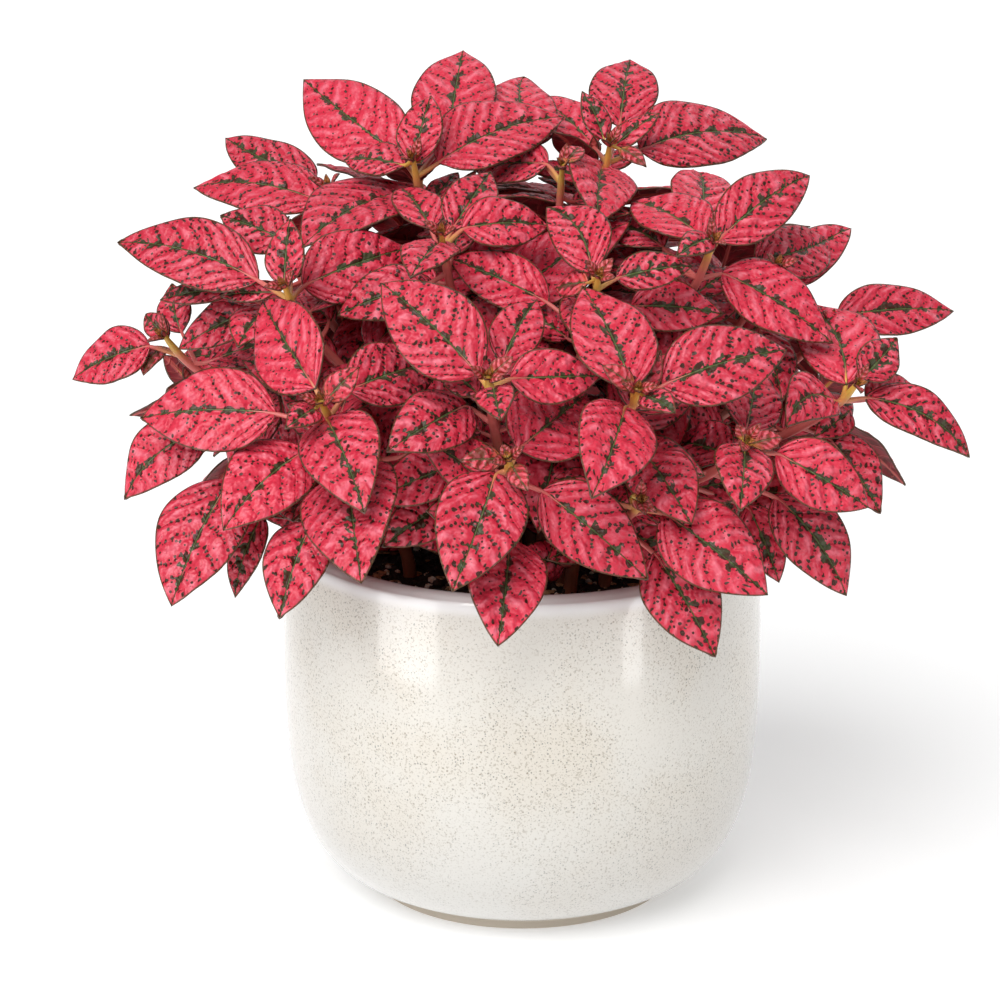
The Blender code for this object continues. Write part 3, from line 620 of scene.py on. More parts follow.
def spot_group():
    """The dark marks of a blade: spots strung along the side veins and scattered, and patches at the midrib."""
    tree, graph, given, taken = new_group(
        "Leaf spots", {"Place": "Vector", "Across": "Float", "Margin": "Float", "Off vein": "Float",
                       "Row": "Float", "Share": "Float", "Own": "Float"},
        {"Spot": "Float", "Patch": "Float"})
    place, across, row = given["Place"], given["Across"], given["Row"]
    rag = graph.math("SUBTRACT", graph.noise(place, 1.3, 1.0).outputs["Fac"], 0.5)
    thick = graph.math("MULTIPLY_ADD", given["Own"], 0.45, 0.75)
    strung = graph.math("ADD", graph.math("DIVIDE", across, SPOT_STEP), row)
    bead = graph.beads(strung)
    chance = graph.split(bead["Color"])
    along = graph.math("MULTIPLY", graph.math("SUBTRACT", strung, bead["W"]), SPOT_STEP)
    aside = graph.math("ADD", given["Off vein"], graph.math("MULTIPLY_ADD", chance[0], 1.5, -0.75))
    aside = graph.math("MULTIPLY_ADD", along, VEIN_SLOPE, aside)
    far = graph.math("SQRT", graph.math("ADD", graph.math("MULTIPLY", aside, aside),
                                        graph.math("MULTIPLY", along, along)))
    far = graph.math("MULTIPLY_ADD", rag, 0.9, far)
    size = graph.math("MULTIPLY", graph.math("MULTIPLY_ADD", chance[1], 0.42, 0.26), thick)
    spots = graph.step(graph.math("SUBTRACT", size, far), -0.05, 0.07)
    edge = graph.step(given["Margin"], 2.2, 0.6)
    for scale, least, most in ((0.42, 0.35, 0.27), (0.7, 0.5, 0.3)):
        cell = graph.cells(place, scale)
        chance = graph.split(cell["Color"])
        there = graph.step(graph.math("MULTIPLY_ADD", edge, 0.3, chance[0]), least, 1.0)
        size = graph.math("MULTIPLY", graph.math("MULTIPLY", there, most), thick)
        loose = graph.math("SUBTRACT", size, graph.math("MULTIPLY_ADD", rag, 0.3, cell["Distance"]))
        spots = graph.math("MAXIMUM", spots, graph.step(loose, -0.03, 0.04))
    thread = graph.step(graph.math("ABSOLUTE", given["Off vein"]), 0.16, 0.05)
    broken = graph.step(graph.noise(place, 0.5, 1.0).outputs["Fac"], 0.5, 0.62)
    spots = graph.math("MAXIMUM", spots, graph.math("MULTIPLY", graph.math("MULTIPLY", thread, broken), 0.14))
    graph.link(spots, taken["Spot"])
    body = graph.math("SINE", graph.math("MULTIPLY", given["Share"], math.pi))
    lumps = graph.noise(place, 0.34, 2.0, 0.6).outputs["Fac"]
    tooth = graph.step(graph.math("ABSOLUTE", given["Off vein"]), 1.1, 0.1)
    reach = graph.math("MULTIPLY_ADD", graph.step(lumps, 0.36, 0.7), 2.9, -0.4)
    reach = graph.math("MULTIPLY", graph.math("MULTIPLY_ADD", tooth, 1.1, reach), body)
    reach = graph.math("MULTIPLY_ADD", rag, 1.5, graph.math("MULTIPLY", reach, thick))
    graph.link(graph.step(graph.math("SUBTRACT", reach, across), -0.05, 0.12), taken["Patch"])
    return tree


def leaf_top_material(look, venation, spotting):
    made, graph, shader = new_material("polka leaf upper face")
    blade = graph.attribute("blade").outputs["Vector"]
    flat, leaf = graph.attribute("flat").outputs["Vector"], graph.attribute("leaf").outputs["Vector"]
    share, age = graph.split(leaf)[1], graph.split(leaf)[2]
    veins = graph.group(venation, {"Blade": blade, "Flat": flat, "Leaf": leaf})
    own = graph.math("FRACT", graph.math("MULTIPLY", graph.split(blade)[2], 0.377))
    tone = graph.noise(veins["Streak"], 0.3, 3.0, 0.6).outputs["Fac"]
    # Painted highlight: the crests of the swellings, in streaks, are mixed towards pale pink as if lit.
    painted_highlight_mask = graph.math("MULTIPLY", graph.step(veins["Crest"], 0.2, 1.0), graph.step(tone, 0.36, 0.68))
    vein = graph.step(graph.math("ABSOLUTE", veins["Off vein"]), 0.75, 0.0)
    pink = graph.mix(graph.math("MULTIPLY", own, 0.3), look.pink, look.deep)
    pink = graph.mix(graph.math("MULTIPLY", painted_highlight_mask, 0.65), pink, look.painted_highlight_pink)
    # Painted shade: the valleys along the side veins are mixed a little towards deep pink.
    pink = graph.mix(graph.math("MULTIPLY", vein, 0.13), pink, look.deep)
    marks = graph.group(spotting, {"Place": veins["Place"], "Across": veins["Across"], "Margin": veins["Margin"],
                                   "Off vein": veins["Off vein"], "Row": veins["Row"], "Share": share,
                                   "Own": own})
    green = graph.mix(graph.math("MULTIPLY", marks["Patch"], graph.step(tone, 0.4, 0.62)), look.speck,
                      look.blue_green)
    dark = graph.math("MULTIPLY", graph.math("MAXIMUM", marks["Spot"], marks["Patch"]), 0.93)
    grown = graph.mix(dark, pink, green)
    stripe = graph.math("MULTIPLY", graph.step(veins["Crest"], 0.35, 0.8), graph.step(share, 0.1, 0.45))
    young = graph.mix(graph.math("MULTIPLY", stripe, 0.85), look.young_ground, look.young_pale)
    young = graph.mix(graph.step(share, 0.3, 0.0), young, look.young_gold)
    young = graph.mix(graph.math("MULTIPLY", graph.step(age, 0.9, 1.0), 0.6), young, look.young_gold)
    blend = graph.mix(graph.step(age, 0.1, 0.75), grown, young)
    rib_width = graph.math("MULTIPLY_ADD", share, -0.2, 0.3)
    rib = graph.step(graph.math("SUBTRACT", veins["Across"], rib_width), 0.1, -0.1)
    drawn = graph.math("MULTIPLY_ADD", age, -0.6, 0.9)
    blend = graph.mix(graph.math("MULTIPLY", rib, drawn), blend, look.rib)
    edge = graph.step(veins["Margin"], 0.62, 0.34)
    blend = graph.mix(graph.math("MULTIPLY", edge, drawn), blend, look.margin)
    graph.link(blend, shader["Base Color"])
    gloss = graph.noise(flat, 1.2, 2.0).outputs["Fac"]
    graph.link(graph.math("MULTIPLY_ADD", gloss, 0.22, 0.26), shader["Roughness"])
    crinkle = graph.noise(veins["Place"], 0.42, 1.0).outputs["Fac"]
    relief = graph.math("MULTIPLY_ADD", vein, -0.1, crinkle)
    relief = graph.math("MULTIPLY_ADD", rib, -0.3, relief)
    bump = graph.node("ShaderNodeBump", {"Strength": 0.9, "Distance": 0.0018, "Height": relief})
    graph.link(bump.outputs[0], shader["Normal"])
    shader["Specular IOR Level"].default_value = 0.3
    return made


def leaf_under_material(look, venation):
    made, graph, shader = new_material("polka leaf underside")
    veins = graph.group(venation, {"Blade": graph.attribute("blade").outputs["Vector"],
                                   "Flat": graph.attribute("flat").outputs["Vector"],
                                   "Leaf": graph.attribute("leaf").outputs["Vector"]})
    stain = graph.noise(veins["Streak"], 0.3, 3.0).outputs["Fac"]
    vein = graph.step(graph.math("ABSOLUTE", veins["Off vein"]), 0.5, 0.1)
    base = graph.mix(graph.step(stain, 0.4, 0.7), look.under, look.under_vein)
    base = graph.mix(graph.math("MULTIPLY", vein, 0.5), base, look.stem_pink)
    base = graph.mix(graph.step(veins["Across"], 0.8, 0.4), base, look.stem_pink)
    base = graph.mix(graph.step(veins["Margin"], 0.5, 0.22), base, look.margin)
    graph.link(base, shader["Base Color"])
    bump = graph.node("ShaderNodeBump", {"Strength": 0.6, "Distance": 0.0004, "Height": vein})
    graph.link(bump.outputs[0], shader["Normal"])
    shader["Roughness"].default_value = 0.55
    return made


def leaf_edge_material(look):
    made, graph, shader = new_material("polka leaf edge")
    worn = graph.noise(graph.attribute("flat").outputs["Vector"], 0.5, 2.0).outputs["Fac"]
    graph.link(graph.mix(worn, look.margin, look.under_vein), shader["Base Color"])
    shader["Roughness"].default_value = 0.5
    return made


def stalk_material(look):
    made, graph, shader = new_material("polka stems and stalks")
    place = graph.node("ShaderNodeTexCoord").outputs["Object"]
    fresh = graph.attribute("fresh").outputs["Fac"]
    grain = graph.noise(place, 420.0, 2.0).outputs["Fac"]
    worn = graph.math("MULTIPLY_ADD", grain, 0.16, graph.math("SUBTRACT", fresh, 0.08))
    bark = graph.mix(graph.step(worn, 0.06, 0.34), look.stem_brown, look.stem_pink)
    bark = graph.mix(graph.step(worn, 0.6, 0.95), bark, look.stem_gold)
    graph.link(bark, shader["Base Color"])
    bump = graph.node("ShaderNodeBump", {"Strength": 0.4, "Distance": 0.0002, "Height": grain})
    graph.link(bump.outputs[0], shader["Normal"])
    shader["Roughness"].default_value = 0.42
    return made


# The veins' course: how they sweep forward on the way to the margin, how far the two sides are out of step,
# and how far a vein wanders, in steps from vein to vein. Then how steeply the veins rise, for the spots, and
# the mm from one spot on a vein to the next, counted across the blade.
VEIN_CURVE = 1.35
VEIN_SWEEP = 0.34
VEIN_STAGGER = 0.14
VEIN_WANDER = 0.34
VEIN_SLOPE = 1.0
SPOT_STEP = 1.35


def vein_pairs(leaf):
    return 3 + round(leaf.length() / (13 * MM))


def vein_count(s, t, pairs, number):
    """How many side veins lie between the root and a point: a whole number is on a vein."""
    out = abs(t)
    sweep = VEIN_SWEEP * out**VEIN_CURVE
    stagger = VEIN_STAGGER * max(-1, min(1, 8 * t))
    wander = VEIN_WANDER * noise.noise(Vector((s * 5, t * 2.5, number * 1.7)))
    return (s - sweep) / (1 - sweep) * pairs + stagger + wander


def relief(leaf, s, t, place, height, wave):
    """How far the blade swells or sinks at a point, apart from the arch that the leaf itself has."""
    out = abs(t)
    swelling = abs(math.sin(math.pi * place)) ** 0.85
    half = leaf.width / 2 * outline(s)
    fade = min(1, half * (1 - out) / (2.2 * MM)) * min(1, half * out / (1.2 * MM))
    rib = math.exp(-((half * t / (1.0 * MM)) ** 2)) * (1 - s)
    lively = 0.75 + 0.7 * noise.noise(Vector((s * 7, t * 4, wave)))
    ripple = math.sin(2 * math.pi * (2.2 * s + wave)) * out**3 * 0.45
    return height * (swelling * fade * lively - 0.5 * rib) + ripple * height


# How much longer and wider a blade is than its solid, whose corners cut across its curves, and by which power
# it is blunter at the tip.
TIP_REACH = 1.012
FULLER = 1.035
TIP_BLUNTER = 0.09

# The blades' own layers: count of veins, share to the margin and number; mm along, across and half the width;
# mm from vein to vein, share to the tip and how young the leaf is.
BLADE_LAYERS = ("blade", "flat", "leaf")


def spread(share):
    """Places the rows along a blade, closer together towards its two ends."""
    return share * 0.62 + 0.38 * (0.5 - 0.5 * math.cos(math.pi * share))


def add_blade(work, leaf, number, young, rows, look):
    """A grid of faces laid over the leaf, its upper face only."""
    columns = 2 * max(3, round(rows * 0.25))
    blade, flat, kind = [work.verts.layers.float_vector[name] for name in BLADE_LAYERS]
    leaf = copy.copy(leaf)
    leaf.tip = leaf.root.lerp(leaf.tip, TIP_REACH)
    long, pairs = leaf.length(), vein_pairs(leaf)
    height = look.quilt * min(1, leaf.width / (18 * MM)) * (1 - 0.6 * young)
    face = leaf.frame()[2]
    made = bmesh.ops.create_grid(work, x_segments=columns, y_segments=rows, size=0.5)["verts"]
    for vertex in made:
        s, t = spread(min(1, max(0, vertex.co.y + 0.5))), vertex.co.x * 2
        fuller = FULLER * (max(1 - s, 0.02) / (1 - WIDEST_AT)) ** -TIP_BLUNTER if s > WIDEST_AT else FULLER
        half = leaf.width / 2 * outline(s) * fuller
        place = vein_count(s, t, pairs, number)
        vertex.co = leaf.point(s, t * fuller) + face * relief(leaf, s, t, place, height, number * 0.61)
        vertex[blade] = (place, t, number)
        vertex[flat] = (s * long / MM, half * t / MM, half / MM)
        vertex[kind] = (long / MM / pairs, s, young)
    return made


def blades_mesh(leaves, look):
    """All blades of a stem as closed bodies: the underside and the edge take the next two material slots."""
    work = bmesh.new()
    for name in BLADE_LAYERS:
        work.verts.layers.float_vector.new(name)
    for leaf, number, young, rows in leaves:
        made = add_blade(work, leaf, number, young, rows, look)
        bmesh.ops.remove_doubles(work, verts=made, dist=0.02 * MM)
    for face in work.faces:
        face.smooth = True
    mesh = bpy.data.meshes.new("blades")
    work.to_mesh(mesh)
    work.free()
    thing = bpy.data.objects.new("blades", mesh)
    bpy.context.scene.collection.objects.link(thing)
    for _ in range(4):
        mesh.materials.append(None)
    shell = thing.modifiers.new("thickness", "SOLIDIFY")
    shell.thickness, shell.offset = look.thickness, -1
    shell.material_offset, shell.material_offset_rim = 1, 2
    return baked(thing)


def baked(thing):
    """The object's mesh with its modifiers applied, or a curve's as a mesh; the object is removed."""
    bpy.context.view_layer.update()
    done = bpy.data.meshes.new_from_object(thing.evaluated_get(bpy.context.evaluated_depsgraph_get()))
    bpy.data.objects.remove(thing)
    return done


def add_path(curve, points, radii):
    spline = curve.splines.new("NURBS")
    spline.points.add(len(points) - 1)
    for knot, point, radius in zip(spline.points, points, radii):
        knot.co, knot.radius = (*point, 1), radius / MM
    spline.order_u = min(4, len(points))
    spline.use_endpoint_u = True
    spline.resolution_u = 4


def tubes_mesh(name, paths):
    """Round closed tubes along smooth paths of points, each point with its own radius."""
    curve = bpy.data.curves.new(name, "CURVE")
    curve.dimensions, curve.bevel_depth, curve.bevel_resolution = "3D", MM, 2
    curve.use_fill_caps = True
    for points, radii in paths:
        add_path(curve, points, radii)
    thing = bpy.data.objects.new(name, curve)
    bpy.context.scene.collection.objects.link(thing)
    return baked(thing)


def stem_path(stem, joints):
    """The stem's centre line, a little thicker at each joint that bears leaves."""
    foot = [stem.foot - Vector((0, 0, STEM_DEPTH * 0.5)), stem.foot + Vector((0, 0, STEM_COLLAR))]
    points = foot + [bezier(stem.guide, k / STEM_ROWS) for k in range(1, STEM_ROWS)]
    points.append(stem.crown + stem.facing * BUD)
    last = len(points) - 1
    radii = []
    for k, point in enumerate(points):
        radius = STEM_FOOT_RADIUS + (STEM_TIP_RADIUS - STEM_FOOT_RADIUS) * max(0, k - 1) / (last - 1)
        near = min([(point - joint).length for joint in joints] or [1])
        radii.append(radius * (1 + 0.22 * math.exp(-((near / (3 * MM)) ** 2))))
    radii[-1] *= 0.6
    return points, radii


def stalk_path(leaf, centre_line, thickness):
    """From the stem to the blade and on under its midrib, thinner and thinner."""
    start = min(centre_line, key=lambda point: (point - leaf.joint).length)
    face = leaf.frame()[2]
    size = min(1, 0.55 + leaf.width / (40 * MM))
    points = [start, start.lerp(leaf.root, 0.5) - face * 0.4 * MM, leaf.root - face * thickness]
    radii = [0.95 * MM * size, 0.78 * MM * size, 0.7 * MM * size]
    for s, radius in ((0.1, 0.55), (0.3, 0.42), (0.5, 0.3), (0.72, 0.15)):
        radius *= MM * size
        points.append(leaf.point(s, 0) - face * (thickness * 0.9 + radius * 0.5))
        radii.append(radius)
    return points, radii


SHOOT_PAIRS = ((7 * MM, 0.66), (4.2 * MM, 0.34))
STEM_ROWS = 22


def shoot_leaves(stem, rng):
    """The smallest leaves, folded about the tip of a shoot."""
    made = []
    one = stem.facing.cross(Vector((0.3, 0.1, 1))).normalized()
    turn = rng.uniform(0, math.pi)
    for k, (long, lean) in enumerate(SHOOT_PAIRS):
        for half in (0, math.pi):
            a = turn + k * math.pi / 2 + half
            out = one * math.cos(a) + stem.facing.cross(one) * math.sin(a)
            way = (stem.facing * math.cos(lean) + out * math.sin(lean)).normalized()
            start = stem.crown + stem.facing * BUD * 0.5
            root = start + way * 0.9 * MM
            made.append(Leaf(start, root, root + way * long, stem.facing, long * 0.46, rng, False))
    return made


# The leaves inside the plant: from how far below the crown they start and how far apart, the lengths tried,
# how many ways each is tried, and how far out in the dome and how near the soil they may reach.
INNER_FROM, INNER_STEP = 12 * MM, 5.5 * MM
INNER_LENGTHS = (34 * MM, 28 * MM, 22 * MM, 17 * MM)
INNER_TRIES = 24
INNER_SHARE = 0.93
INNER_FLOOR = 122 * MM


def is_clear(leaf, solids, placed):
    """Whether lines along the blade and across it meet none of the solids and none of the leaves placed."""
    middle = leaf.point(0.5, 0)
    near = [solids] + [tree for place, tree in placed if (place - middle).length < INNER_LENGTHS[0] * 1.2]
    lines = [[leaf.point(s, t) for s in (0.12, 0.4, 0.7, 1)] for t in (-1, 0, 1)]
    lines += [[leaf.point(s, t) for t in (-1, 0, 1)] for s in (0.3, 0.55, 0.8)]
    for line in lines:
        for one, two in zip(line, line[1:]):
            step = two - one
            if step.length and any(tree.ray_cast(one, step.normalized(), step.length)[0] for tree in near):
                return False
    return True


def closes(leaf, solids):
    """How many of a leaf's middle points close a gap to the eye, less those that stand before a solid."""
    score = 0
    for point in [leaf.point(s, t) for s in (0.3, 0.6, 0.85) for t in (-0.5, 0.5)]:
        ray = (point - EYE).normalized()
        if solids.ray_cast(EYE, ray)[0] is None:
            score += 1
        elif solids.ray_cast(point, -ray)[0] is None:
            score -= 1
    return score


def inner_leaves(stem, solids, placed, rng):
    """Leaves deep in the plant, on the lower stem that the model leaves bare, where they close a gap if they can."""
    made = []
    below = INNER_FROM
    while below < (stem.crown - stem.foot).length - 6 * MM:
        start = stem.joint(below)
        below += INNER_STEP
        facing = (dome_normal(start) * 0.6 - AHEAD * 0.5 + Vector((0, 0, 0.4))).normalized()
        best, most = None, -1
        for k in range(INNER_TRIES):
            a = rng.uniform(0, 2 * math.pi)
            way = Vector((math.cos(a), math.sin(a), rng.uniform(-0.1, 0.7))).normalized()
            long = INNER_LENGTHS[k % len(INNER_LENGTHS)]
            root = start + way * 5 * MM
            leaf = Leaf(start, root, root + way * long, facing, long * 0.56, rng, False)
            tip = leaf.tip - DOME_CENTRE
            reach = Vector([p / q for p, q in zip(tip, DOME_RADII)]).length
            if reach > INNER_SHARE or leaf.tip.z < INNER_FLOOR or not is_clear(leaf, solids, placed):
                continue
            score = closes(leaf, solids)
            if score > most:
                best, most = leaf, score
        if best:
            made.append(best)
            placed.append((best.point(0.5, 0), leaf_tree(best)))
    return made


def leaf_tree(leaf):
    """The surface of a leaf as four flat faces, to keep others clear of it."""
    corners = [leaf.root, leaf.point(0.4, -1), leaf.point(0.4, 0), leaf.point(0.4, 1), leaf.tip]
    return BVHTree.FromPolygons(corners, [(0, 1, 2), (0, 2, 3), (4, 1, 2), (4, 2, 3)])


def solids_tree(nodes):
    """One search tree of all the stems' solids."""
    work = bmesh.new()
    for node in nodes:
        work.from_mesh(node.data)
    tree = BVHTree.FromBMesh(work)
    work.free()
    return tree


def marks_of(leaf):
    """Points of a leaf that its solid has as corners."""
    detailed = leaf.seen and leaf.width > SMALL_WIDTH
    stations = SEEN_STATIONS if detailed else PLAIN_STATIONS
    return [leaf.tip] + [leaf.point(s, t) for s in (stations[0], stations[-1]) for t in (-1, 1)]


def find_settled(stem, node):
    """Keeps of the stem's leaves those that its solid has, each in the place that it has there."""
    corners = node.data.vertices
    tree = KDTree(len(corners))
    for i, vertex in enumerate(corners):
        tree.insert(vertex.co, i)
    tree.balance()
    kept = []
    for leaf in stem.leaves:
        best, most = None, 2
        for trial in tries(leaf):
            found = sum(tree.find(mark)[2] < 0.02 * MM for mark in marks_of(trial))
            if found > most:
                best, most = trial, found
            if most == 5:
                break
        if best:
            kept.append(best)
    stem.leaves = kept


def merge(meshes, paints, name):
    """One mesh of several, each with the material slots that its faces already name."""
    work = bmesh.new()
    for mesh in meshes:
        work.from_mesh(mesh)
        bpy.data.meshes.remove(mesh)
    made = bpy.data.meshes.new(name)
    work.to_mesh(made)
    work.free()
    for paint in paints:
        made.materials.append(paint)
    return made


def mark_tubes(mesh, stem_material, crown, stalk):
    """Gives the tubes their material and how fresh they are: more so near the crown, and a stalk at least so."""
    mesh.materials.clear()
    for _ in range(stem_material + 1):
        mesh.materials.append(None)
    for polygon in mesh.polygons:
        polygon.material_index = stem_material
        polygon.use_smooth = True
    fresh = mesh.attributes.new("fresh", "FLOAT", "POINT")
    for vertex, value in zip(mesh.vertices, fresh.data):
        value.value = max(stalk, math.exp(-((vertex.co - crown).length / (24 * MM))))


def finish_piece(name, mesh, node):
    piece = bpy.data.objects.new(name, mesh)
    bpy.context.scene.collection.objects.link(piece)
    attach(piece, "root")
    if node:
        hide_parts(node)
    return piece


class PolkaStemsOperator(bpy.types.Operator):
    """Build the leafy stems, each in place of its solid"""

    bl_idname = "polka.leafy_stems"
    bl_label = "Leafy stems"

    def execute(self, context):
        look = context.scene.polka_leaf
        venation = venation_group()
        paints = [leaf_top_material(look, venation, spot_group()), leaf_under_material(look, venation),
                  leaf_edge_material(look), stalk_material(look)]
        rng = random.Random(SEED)
        stems = sheet_stems(rng) + back_stems(rng)
        nodes = [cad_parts[f"leafy_stem_{i:02d}"] for i in range(1, len(stems) + 1)]
        solids, placed = solids_tree(nodes), []
        rng = random.Random(SEED + 1)
        number = 0
        for i, (stem, node) in enumerate(zip(stems, nodes), 1):
            find_settled(stem, node)
            leaves = []
            for leaf in stem.leaves:
                grown = (leaf.length() - YOUNG_LENGTH) / (GROWN_LENGTH - YOUNG_LENGTH)
                rows = look.fine if leaf.seen and leaf.width > SMALL_WIDTH else look.plain
                leaves.append((leaf, 0.8 * min(1, max(0, 1 - grown)), rows))
            for k, leaf in enumerate(shoot_leaves(stem, rng)):
                leaves.append((leaf, 0.8 if k < 2 else 0.97, look.coarse))
            inner = inner_leaves(stem, solids, placed, rng)
            leaves += [(leaf, 0.0, look.coarse) for leaf in inner]
            numbered = []
            for leaf, young, rows in leaves:
                number += 1
                numbered.append((leaf, number, young, rows))
            blades = blades_mesh(numbered, look)
            trunk = stem_path(stem, [leaf.joint for leaf in stem.leaves])
            stalks = [stalk_path(leaf, trunk[0], look.thickness) for leaf in stem.leaves + inner]
            trunk_mesh = tubes_mesh("trunk", [trunk])
            mark_tubes(trunk_mesh, 3, stem.crown, 0.0)
            stalk_mesh = tubes_mesh("stalks", stalks)
            mark_tubes(stalk_mesh, 3, stem.crown, 0.4)
            mesh = merge([blades, trunk_mesh, stalk_mesh], paints, f"foliage_{i:02d}")
            finish_piece(f"foliage_{i:02d}", mesh, node.name)
        return {"FINISHED"}


YOUNG_LENGTH, GROWN_LENGTH = 6 * MM, 17 * MM


# The pot's outline, as in its solid: outside from the rim's inner edge to the middle of the foot, then inside,
# as radius and height in mm.
POT_OUTSIDE = (
    (65.0, 112.6), (66.8, 114.5), (69.2, 115.0), (72.0, 114.0), (73.6, 111.4), (74.6, 97.0), (75.0, 74.0),
    (74.4, 52.0), (72.2, 33.0), (67.6, 18.6), (60.0, 8.8), (50.6, 3.6),
)
POT_FOOT = ((48.8, 2.9), (48.6, 2.2), (48.6, 0.5), (48.1, 0.0), (45.0, 0.0))
POT_INSIDE = ((48.0, 10.6), (61.0, 22.0), (67.4, 44.0), (68.4, 74.0), (67.2, 98.0), (65.0, 112.6))


def smooth_line(points, steps):
    """Points along a smooth curve through the given ones."""
    made = []
    ends = [points[0], *points, points[-1]]
    for a, b, c, d in zip(ends, ends[1:], ends[2:], ends[3:]):
        for k in range(steps):
            t = k / steps
            made.append(tuple(
                0.5 * (2 * q + (r - p) * t + (2 * p - 5 * q + 4 * r - s) * t * t + (3 * q - p - 3 * r + s) * t**3)
                for p, q, r, s in zip(a, b, c, d)))
    return made + [points[-1]]


def spun(work, profile, steps):
    """Turns a profile of (radius, height) in mm round the upright axis into a closed surface."""
    verts = [work.verts.new((radius * MM, 0, height * MM)) for radius, height in profile]
    edges = [work.edges.new(pair) for pair in zip(verts, verts[1:])]
    bmesh.ops.spin(work, geom=verts + edges, axis=(0, 0, 1), cent=(0, 0, 0), dvec=(0, 0, 0),
                   angle=2 * math.pi, steps=steps, use_merge=True, use_duplicate=False)
    bmesh.ops.remove_doubles(work, verts=work.verts, dist=0.01 * MM)
    bmesh.ops.recalc_face_normals(work, faces=work.faces)
    for face in work.faces:
        face.smooth = True


def glaze_material(look):
    made, graph, shader = new_material("polka pot glaze")
    place = graph.node("ShaderNodeTexCoord").outputs["Object"]
    height = graph.split(place)[2]
    clouds = graph.noise(place, 24.0, 3.0).outputs["Fac"]
    base = graph.mix(graph.math("MULTIPLY", graph.step(clouds, 0.4, 0.66), 0.8), look.glaze, look.warm)
    pepper = graph.noise(place, 1500.0, 2.0, 0.6).outputs["Fac"]
    thick = graph.math("MULTIPLY", graph.step(clouds, 0.2, 0.6), graph.step(height, 0.1125, 0.1075))
    base = graph.mix(graph.math("MULTIPLY", graph.step(pepper, 0.53, 0.66), graph.math("MULTIPLY", thick, 0.55)),
                     base, look.fleck)
    for scale, size, tint, strength in ((1250.0, 0.33, look.grey_fleck, 0.8), (800.0, 0.25, look.fleck, 0.85)):
        cell = graph.cells(place, scale)
        chance = graph.split(cell["Color"])[0]
        dot = graph.math("SUBTRACT", graph.math("MULTIPLY", graph.step(chance, 0.35, 1.0), size),
                         cell["Distance"])
        there = graph.math("MULTIPLY", graph.step(dot, -0.05, 0.07), graph.math("MULTIPLY", thick, strength))
        base = graph.mix(there, base, tint)
    # Painted shade: below 85 mm the glaze is mixed towards grey, more so towards the foot.
    base = graph.mix(graph.math("MULTIPLY", graph.step(height, 0.085, 0.0), 0.45), base, look.low)
    base = graph.mix(graph.step(height, 0.1085, 0.1122), base, look.rim)
    bare = graph.step(height, 0.0034, 0.0024)
    base = graph.mix(bare, base, look.clay)
    graph.link(base, shader["Base Color"])
    graph.link(graph.math("MULTIPLY_ADD", bare, 0.5, 0.3), shader["Roughness"])
    graph.link(graph.math("SUBTRACT", 1.0, bare), shader["Coat Weight"])
    shader["Coat Roughness"].default_value = 0.09
    waves = graph.noise(place, 34.0, 2.0).outputs["Fac"]
    pits = graph.noise(place, 520.0, 2.0).outputs["Fac"]
    bump = graph.node("ShaderNodeBump", {"Strength": 0.25, "Distance": 0.0012,
                                         "Height": graph.math("MULTIPLY_ADD", pits, 0.05, waves)})
    graph.link(bump.outputs[0], shader["Normal"])
    return made


class PolkaPotOperator(bpy.types.Operator):
    """Build the glazed pot in place of its solid"""

    bl_idname = "polka.pot"
    bl_label = "Pot"

    def execute(self, context):
        look = context.scene.polka_pot
        profile = smooth_line(POT_OUTSIDE, 5) + list(POT_FOOT) + [(0, 0)]
        profile += smooth_line(((0, 8.0),) + POT_INSIDE, 3)
        work = bmesh.new()
        spun(work, profile, look.steps)
        mesh = bpy.data.meshes.new("glazed_pot")
        work.to_mesh(mesh)
        work.free()
        mesh.materials.append(glaze_material(look))
        finish_piece("glazed_pot", mesh, "pot")
        return {"FINISHED"}


def soil_material(look):
    made, graph, shader = new_material("polka soil")
    place = graph.node("ShaderNodeTexCoord").outputs["Object"]
    grit = graph.noise(place, 500.0, 4.0, 0.7).outputs["Fac"]
    base = graph.mix(graph.step(grit, 0.45, 0.8), look.peat, look.damp)
    graph.link(base, shader["Base Color"])
    bump = graph.node("ShaderNodeBump", {"Strength": 0.8, "Distance": 0.0008, "Height": grit})
    graph.link(bump.outputs[0], shader["Normal"])
    graph.link(graph.math("MULTIPLY_ADD", grit, -0.5, 0.95), shader["Roughness"])
    return made


def bit_material(name, tint, dark, roughness):
    made, graph, shader = new_material(name)
    place = graph.node("ShaderNodeTexCoord").outputs["Object"]
    grain = graph.noise(place, 700.0, 3.0).outputs["Fac"]
    graph.link(graph.mix(graph.step(grain, 0.4, 0.75), tint, dark), shader["Base Color"])
    shader["Roughness"].default_value = roughness
    return made


def soil_height(x, y):
    """The height of the soil's surface in metres: the model's low mound with crumbs on it."""
    share = math.hypot(x, y) / SOIL_RADIUS
    mound = 1.5 - 2.6 * share**3
    rough = noise.fractal(Vector((x, y, 0)) * 160, 1.0, 2.2, 4)
    return SOIL_TOP + (mound + rough * 1.3) * MM


SOIL_RADIUS = 66 * MM


def scatter(work, count, rng, least, most, flat, slot):
    """Small lumps on the soil, each a rough ball of few faces, sunk a little way in."""
    for _ in range(count):
        reach, turn = SOIL_RADIUS * 0.97 * math.sqrt(rng.random()), rng.uniform(0, 2 * math.pi)
        x, y = reach * math.cos(turn), reach * math.sin(turn)
        size = rng.uniform(least, most)
        lump = bmesh.ops.create_icosphere(work, subdivisions=1, radius=size)["verts"]
        tilt = Matrix.Rotation(rng.uniform(-0.5, 0.5), 3, "X") @ Matrix.Rotation(rng.uniform(0, math.pi), 3, "Z")
        form = Vector((1, rng.uniform(0.5, 0.9), flat * rng.uniform(0.7, 1.2)))
        middle = Vector((x, y, soil_height(x, y) + size * flat * 0.3))
        for vertex in lump:
            bent = vertex.co * rng.uniform(0.75, 1.15)
            vertex.co = tilt @ Vector([a * b for a, b in zip(bent, form)]) + middle
        for face in {face for vertex in lump for face in vertex.link_faces}:
            face.material_index = slot


